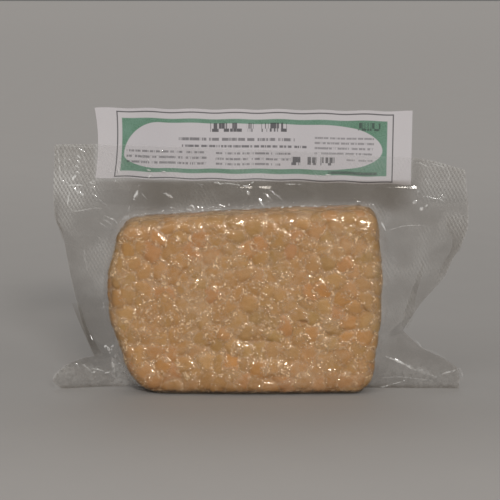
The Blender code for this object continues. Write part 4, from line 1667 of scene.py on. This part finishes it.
@dataclass
class Folds:
    """The folded strips along the bag's edges."""

    length_steps: int = 60
    width_steps: int = 10
    line_steps: int = 200
    crown: float = 0.0003
    set_back: float = 0.80  # how far it follows the bag's edge backwards
    ruffle: float = 0.0002
    rim_haze: float = 0.10

    def edge_depth(self, x: Array, z: Array, form: BagForm) -> Array:
        """How far back the bag's edge lies near a place."""
        edge = form.edge(np.linspace(0.0, 1.0, 900))
        gaps = np.hypot(x[:, None] - edge[None, :, 0], z[:, None] - edge[None, :, 2])
        return edge[gaps.argmin(axis=1), 1]

    def line(self, points: tuple, along: Array) -> Array:
        """The places at shares of the way along a smooth line, as rows of x and of z."""
        line = resample(smooth_curve(points), self.line_steps)
        at = along * self.line_steps
        return np.array([np.interp(at, np.arange(self.line_steps + 1), line[:, k]) for k in (0, 1)])

    def build(self, form: BagForm, material: bpy.types.Material) -> None:
        """Builds each strip as a thin turned-over sheet in front of the margin.

        Args:
            form: the bag's.
            material: the film's.
        """
        for strip in STRIPS:
            piece, across, along = flat_sheet(strip.name, self.width_steps, self.length_steps)
            x, z = self.line(strip.outer, along) * (1 - across) + self.line(strip.inner, along) * across
            y = self.edge_depth(x, z, form) * self.set_back - strip.gap
            y -= self.crown * np.sin(math.pi * across)
            y += self.ruffle * lattice_noise(np.column_stack([x, 0 * x, z]), 0.004, 81)
            piece.data.vertices.foreach_set("co", np.column_stack([x, y, z]).ravel())
            # painted shade along the strip
            shade = strip.shade * np.sin(math.pi * np.clip(along, 0.02, 0.98)) ** 0.4
            rim = self.rim_haze * (np.minimum(across, 1 - across) < 0.5 / self.width_steps)
            paint(piece.data, "film_marks", np.column_stack([0 * x, shade, rim]))
            piece.data.update()
            piece.data.shade_smooth()
            piece.data.materials.append(material)
            settle(piece, "clear_film")


# ---------------------------------------------------------------- the paper label


@dataclass(frozen=True)
class PrintBlock:
    """A plain block of printed rules on the label, in print units from its top left."""

    left: float
    right: float
    top: float
    thick: float
    pitch: float = 5.5
    lines: int = 1
    ink: float = 0.8
    gaps: float = 0.42
    grain: float = 0.30


@dataclass(frozen=True)
class PrintBox:
    """A box on the label, in print units from its top left."""

    left: float
    right: float
    top: float
    bottom: float
    soft: float = 0.35

    def share(self, nodes: Nodes, across: Socket, down: Socket) -> Socket:
        """The box as a mask with a soft edge.

        Args:
            nodes: the material's.
            across: how far right on the label, in print units.
            down: how far down on it.

        Returns:
            1 inside, 0 outside.
        """
        inside = []
        for value, low, high in ((across, self.left, self.right), (down, self.top, self.bottom)):
            gone = nodes.from_middle(value, (low + high) / 2)
            half = (high - low) / 2
            inside.append(nodes.ramp(gone, half - self.soft, half + self.soft, 1.0, 0.0))
        return nodes.times(*inside)


@dataclass(frozen=True)
class PaleOval:
    """The label's pale oval: two round ends, with a middle line, top and bottom that lean from end to end."""

    left: float = 65.0
    right: float = 235.0
    left_reach: float = 36.0
    right_reach: float = 52.3
    middle: tuple[float, float] = (46.0, -8.0)  # at the left, and how much more at the right
    above: tuple[float, float] = (32.6, -9.1)
    below: tuple[float, float] = (12.3, 6.8)

    def share(self, nodes: Nodes, across: Socket, down: Socket) -> Socket:
        """The oval as a mask with a soft edge.

        Args:
            nodes: the material's.
            across: how far right on the label, in print units.
            down: how far down on it.

        Returns:
            1 inside, 0 outside.
        """
        along = nodes.ramp(across, self.left, self.right)
        along.node.interpolation_type = "LINEAR"
        leans = (self.middle, self.above, self.below)
        middle, above, below = (nodes.times_add(along, more, low) for low, more in leans)
        ways = (
            (middle, down, above),
            (down, middle, below),
            (self.left, across, self.left_reach),
            (across, self.right, self.right_reach),
        )
        total = 0.0
        for ahead, behind, reach in ways:
            gone = nodes.math("MAXIMUM", nodes.math("SUBTRACT", ahead, behind), 0.0)
            part = nodes.math("DIVIDE", gone, reach)
            total = nodes.times_add(part, part, total)
        return nodes.ramp(total, 0.985, 1.03, 1.0, 0.0)


@dataclass(frozen=True)
class PaperFinish:
    """Printed office paper: white, with a green field round a pale oval and plain dark rules."""

    unit: float = 0.1485 / 317  # a print unit, in metres
    white: Rgb = (214, 210, 212)
    front_shade: Rgb = (196, 192, 196)
    back_shade: Rgb = (198, 195, 198)
    oval: Rgb = (212, 208, 211)
    oval_shade: Rgb = (190, 187, 193)
    green: Rgb = (120, 158, 137)
    green_dark: Rgb = (92, 136, 112)
    green_pale: Rgb = (136, 170, 156)
    ink: Rgb = (62, 62, 66)
    fibre: Grain = Grain(0.55, 4.0, 0.65, 0.3, 0.7, 0.10)
    oval_fibre: Grain = Grain(0.55, 4.0, 0.65, 0.3, 0.7, 0.12)
    green_cloud: Grain = Grain(0.035, 2.0, 0.5, 0.40, 0.65, 0.35)
    roughness: tuple[float, float] = (0.48, 0.62)
    field_box: PrintBox = PrintBox(26.5, 292.0, 9.5, 62.3, 0.5)
    frame_boxes: tuple = (PrintBox(21.2, 298.4, 2.8, 68.4, 0.22), PrintBox(22.4, 297.2, 4.0, 67.2, 0.22))
    frame_ink: float = 0.85
    blocks: tuple = (
        PrintBlock(115.5, 147.0, 13.2, 8.6, ink=0.86, gaps=0.455, grain=0.22),
        PrintBlock(152.0, 192.0, 13.0, 8.6, ink=0.86, gaps=0.455, grain=0.22),
        PrintBlock(84.0, 200.0, 27.6, 2.9, ink=0.66),
        PrintBlock(87.0, 212.0, 34.6, 2.3, ink=0.74),
        PrintBlock(31.5, 112.0, 40.8, 2.2, lines=3, ink=0.60),
        PrintBlock(121.0, 196.0, 41.6, 2.1, pitch=5.6, lines=2, ink=0.62),
        PrintBlock(121.0, 186.0, 52.0, 2.1, ink=0.60),
        PrintBlock(220.0, 279.0, 25.8, 1.9, pitch=4.9, lines=4, ink=0.50),
        PrintBlock(252.0, 278.0, 46.6, 1.7, ink=0.46),
        PrintBlock(197.0, 206.0, 45.5, 8.2, ink=0.84, grain=0.26),
        PrintBlock(213.0, 222.0, 45.2, 7.6, ink=0.84, grain=0.26),
        PrintBlock(226.0, 240.0, 45.0, 7.8, ink=0.84, gaps=0.44, grain=0.26),
        PrintBlock(263.0, 285.0, 11.6, 7.6, ink=0.72, gaps=0.44, grain=0.24),
        PrintBlock(234.0, 283.0, 58.4, 2.9, ink=0.62, gaps=0.34),
    )

    def material(self) -> bpy.types.Material:
        """Builds the finish.

        Returns:
            The material.
        """
        material, nodes, shader = new_material("label_paper")
        scale = nodes.add("ShaderNodeVectorMath", operation="SCALE")
        nodes.join(nodes.add("ShaderNodeUVMap", uv_map="print").outputs[0], scale.inputs[0])
        scale.inputs["Scale"].default_value = 1.0 / self.unit
        place = scale.outputs[0]
        across, down, _ = nodes.axes(place)
        paper, fibre = nodes.mottle(place, self.fibre, srgb(*self.white), srgb(*self.front_shade))
        back, _ = nodes.mottle(place, self.fibre, srgb(*self.white), srgb(*self.back_shade))
        oval, _ = nodes.mottle(place, self.oval_fibre, srgb(*self.oval), srgb(*self.oval_shade))
        stipple = nodes.ramp(nodes.noise(place, 0.85, 3.0, 0.7), 0.35, 0.62)
        green = nodes.blend(stipple, srgb(*self.green_dark), srgb(*self.green))
        green, _ = nodes.mottle(place, self.green_cloud, green, srgb(*self.green_pale))
        field = self.field_box.share(nodes, across, down)
        colour = nodes.blend(field, paper, green)
        colour = nodes.blend(nodes.times(PaleOval().share(nodes, across, down), field), colour, oval)
        outer, inner = (box.share(nodes, across, down) for box in self.frame_boxes)
        ink = nodes.times(nodes.math("SUBTRACT", outer, inner), self.frame_ink)
        for block in self.blocks:
            ink = nodes.math("MAXIMUM", ink, self.rules(nodes, across, down, block))
        colour = nodes.blend(ink, colour, srgb(*self.ink))
        front = nodes.add("ShaderNodeAttribute", attribute_name="printed").outputs["Fac"]
        nodes.join(nodes.blend(front, back, colour), shader.inputs["Base Color"])
        nodes.join(nodes.ramp(fibre, 0.3, 0.7, *self.roughness), shader.inputs["Roughness"])
        nodes.join(nodes.bump(fibre, 0.25, 0.0001), shader.inputs["Normal"])
        return material

    def rules(self, nodes: Nodes, across: Socket, down: Socket, block: PrintBlock) -> Socket:
        """The ink of one block: evenly spaced rules, broken into short plain pieces.

        Args:
            nodes: the material's.
            across: how far right on the label, in print units.
            down: how far down on it.
            block: which block.

        Returns:
            How much ink there is.
        """
        bottom = block.top + block.pitch * (block.lines - 1) + block.thick
        mask = PrintBox(block.left, block.right, block.top, bottom).share(nodes, across, down)
        if block.lines > 1:
            row = nodes.math("WRAP", nodes.math("SUBTRACT", down, block.top - 0.2), block.pitch, 0.0)
            mask = nodes.times(mask, nodes.ramp(row, block.thick - 0.2, block.thick + 0.5, 1.0, 0.0))
        fallen = nodes.math("DIVIDE", nodes.math("SUBTRACT", down, block.top), block.pitch)
        spot = nodes.add("ShaderNodeCombineXYZ")
        nodes.join(across, spot.inputs[0])
        nodes.join(nodes.times_add(nodes.math("FLOOR", fallen), 37.0, block.left), spot.inputs[1])
        broken = nodes.noise(spot.outputs[0], block.grain, 2.0, 0.8)
        return nodes.times(mask, nodes.ramp(broken, block.gaps, block.gaps + 0.08), block.ink)


@dataclass
class Label:
    """The paper label that stands in the bag's mouth."""

    bottom_left: tuple[float, float] = (-0.0767, 0.0994)
    bottom_right: tuple[float, float] = (0.0700, 0.0964)
    top_left: tuple[float, float] = (-0.0764, 0.1319)
    top_right: tuple[float, float] = (0.0702, 0.1304)
    thickness: float = 0.00022
    end_dip: float = 0.0015
    print_size: tuple[float, float] = (0.1485, 0.1485 / 317 * 69.5)
    print_skew: float = 0.0019  # how far the print leans out at the bottom left corner
    edge_ripple: float = 0.00022
    columns: int = 180
    rows: int = 36

    def build(self) -> None:
        """Cuts the sheet, waves it, gives it its thickness and prints it."""
        piece, u, v = flat_sheet("paper_label", self.columns, self.rows)
        places = (self.bottom_left, self.bottom_right, self.top_left, self.top_right)
        low_left, low_right, high_left, high_right = (np.array(place)[:, None] for place in places)
        x, level = (low_left * (1 - u) + low_right * u) * (1 - v) + (high_left * (1 - u) + high_right * u) * v
        x = x + self.end_dip * 4 * v * (1 - v) * (1 - u) ** 6
        z = level + self.edge_ripple * np.sin(46 * u) * (2 * v - 1)
        y = label_wave(x, level) + 0.00012 * lattice_noise(np.column_stack([x, x * 0, z]), 0.011, 51)
        mesh = piece.data
        mesh.vertices.foreach_set("co", np.column_stack([x, y, z]).ravel())
        corners = np.zeros(len(mesh.loops), int)
        mesh.loops.foreach_get("vertex_index", corners)
        skewed = u * self.print_size[0] + self.print_skew * (1 - u) ** 6 * (1 - v)
        spread = np.column_stack([skewed, (1 - v) * self.print_size[1]])[corners]
        mesh.uv_layers.new(name="print").data.foreach_set("uv", spread.ravel())
        mesh.update()
        thick = piece.modifiers.new("paper", "SOLIDIFY")
        thick.thickness, thick.offset = self.thickness, 0.0
        bpy.ops.object.modifier_apply(modifier=thick.name)
        mesh = piece.data
        fronts = np.zeros(len(mesh.polygons) * 3)
        mesh.polygons.foreach_get("normal", fronts)
        printed = mesh.attributes.new("printed", "FLOAT", "FACE")
        printed.data.foreach_set("value", (fronts[1::3] < -0.5).astype(np.float32))
        mesh.shade_smooth()
        mesh.set_sharp_from_angle(angle=math.radians(40))
        piece.data.materials.append(PaperFinish().material())
        settle(piece, "label_paper", "label_card")


# ---------------------------------------------------------------- table, light and camera


@dataclass(frozen=True)
class Sun:
    """A distant light: its angles, in degrees right of the camera and above the table, and its width."""

    name: str
    azimuth: float
    elevation: float
    spread: float = 5.0
    strength: float = 0.06  # watts on each square metre that faces it
    tint: Colour = (1.0, 0.97, 0.93)


@dataclass
class Studio:
    """The table, the light and the camera."""

    target: tuple[float, float, float] = (-0.0047, 0.0, 0.0666)
    distance: float = 0.700
    elevation: float = 9.8
    half_width: float = 0.1171  # what half the view's width shows at the target, in metres
    floor_size: float = 60.0
    suns: tuple = (
        Sun("key_light", 17.0, 27.0, 10.0, 1.30, (1.0, 0.975, 0.95)),
        Sun("back_light", 180.0, 56.0, 40.0, 0.42, (1.0, 0.99, 0.98)),
        Sun("fill_light", -45.0, 45.0, 30.0, 0.20, (0.96, 0.98, 1.0)),
        Sun("spot_light_1", -52.0, 34.0),
        Sun("spot_light_2", 58.0, 38.0),
        Sun("spot_light_3", -14.0, 58.0),
        Sun("spot_light_4", 30.0, 62.0),
    )
    low_sky: Colour = (0.17, 0.165, 0.16)
    high_sky: Colour = (0.40, 0.40, 0.40)
    sky_rise: tuple[float, float] = (0.10, 0.95)

    def lay_table(self) -> None:
        """Lays a wide plain table under the pack."""
        bpy.ops.mesh.primitive_plane_add(size=self.floor_size, location=(0.0, 0.0, 0.0))
        table = bpy.context.object
        table.name = "table"
        table.data.materials.append(TableFinish().material())

    @staticmethod
    def aim(thing: bpy.types.Object, target: tuple[float, float, float]) -> None:
        """Turns a camera or light towards a place."""
        way = Vector(target) - thing.location
        thing.rotation_euler = way.to_track_quat("-Z", "Y").to_euler()

    def add_sun(self, sun: Sun) -> None:
        """Adds a distant soft light that faces the pack."""
        a, e = math.radians(sun.azimuth), math.radians(sun.elevation)
        way = Vector((math.sin(a) * math.cos(e), -math.cos(a) * math.cos(e), math.sin(e)))
        bpy.ops.object.light_add(type="SUN", location=Vector(self.target) + way)
        light = bpy.context.object
        light.name = sun.name
        light.data.angle = math.radians(sun.spread)
        light.data.energy = sun.strength
        light.data.color = sun.tint
        self.aim(light, self.target)

    def light(self) -> None:
        """Adds the lights, and a sky that is brighter overhead."""
        for sun in self.suns:
            self.add_sun(sun)
        world = bpy.data.worlds.new("studio")
        bpy.context.scene.world = world
        world.use_nodes = True
        nodes = Nodes(world.node_tree)
        height = nodes.axes(nodes.add("ShaderNodeTexCoord").outputs["Generated"])[2]
        rise = nodes.ramp(height, *self.sky_rise)
        colour = nodes.blend(rise, (*self.low_sky, 1.0), (*self.high_sky, 1.0))
        nodes.join(colour, world.node_tree.nodes["Background"].inputs["Color"])
        bpy.context.scene.view_settings.view_transform = "Standard"

    def place_camera(self) -> None:
        """Places the camera in front of the pack, a little above it."""
        lift = math.radians(self.elevation)
        away = Vector((0.0, -math.cos(lift), math.sin(lift))) * self.distance
        bpy.ops.object.camera_add(location=Vector(self.target) + away)
        camera = bpy.context.object
        self.aim(camera, self.target)
        camera.data.lens = camera.data.sensor_width / 2 * self.distance / self.half_width
        camera.data.clip_start, camera.data.clip_end = 0.01, 200.0
        bpy.context.scene.camera = camera

    def build(self) -> None:
        """Sets up the whole studio."""
        self.lay_table()
        self.light()
        self.place_camera()


def main() -> None:
    """Builds the studio and the pack's pieces in order."""
    logging.basicConfig(level=logging.INFO, format="%(name)s: %(message)s")
    Studio().build()
    shell, normals, heights, borders = Cake(CakeForm(), BeanBed()).build()
    film = FilmFinish().material()
    margin = Film(BagForm(), shell, normals, heights, borders, film).build()
    CreaseRidges().build(margin, film)
    Folds().build(BagForm(), film)
    Label().build()


if __name__ == "__main__":
    main()
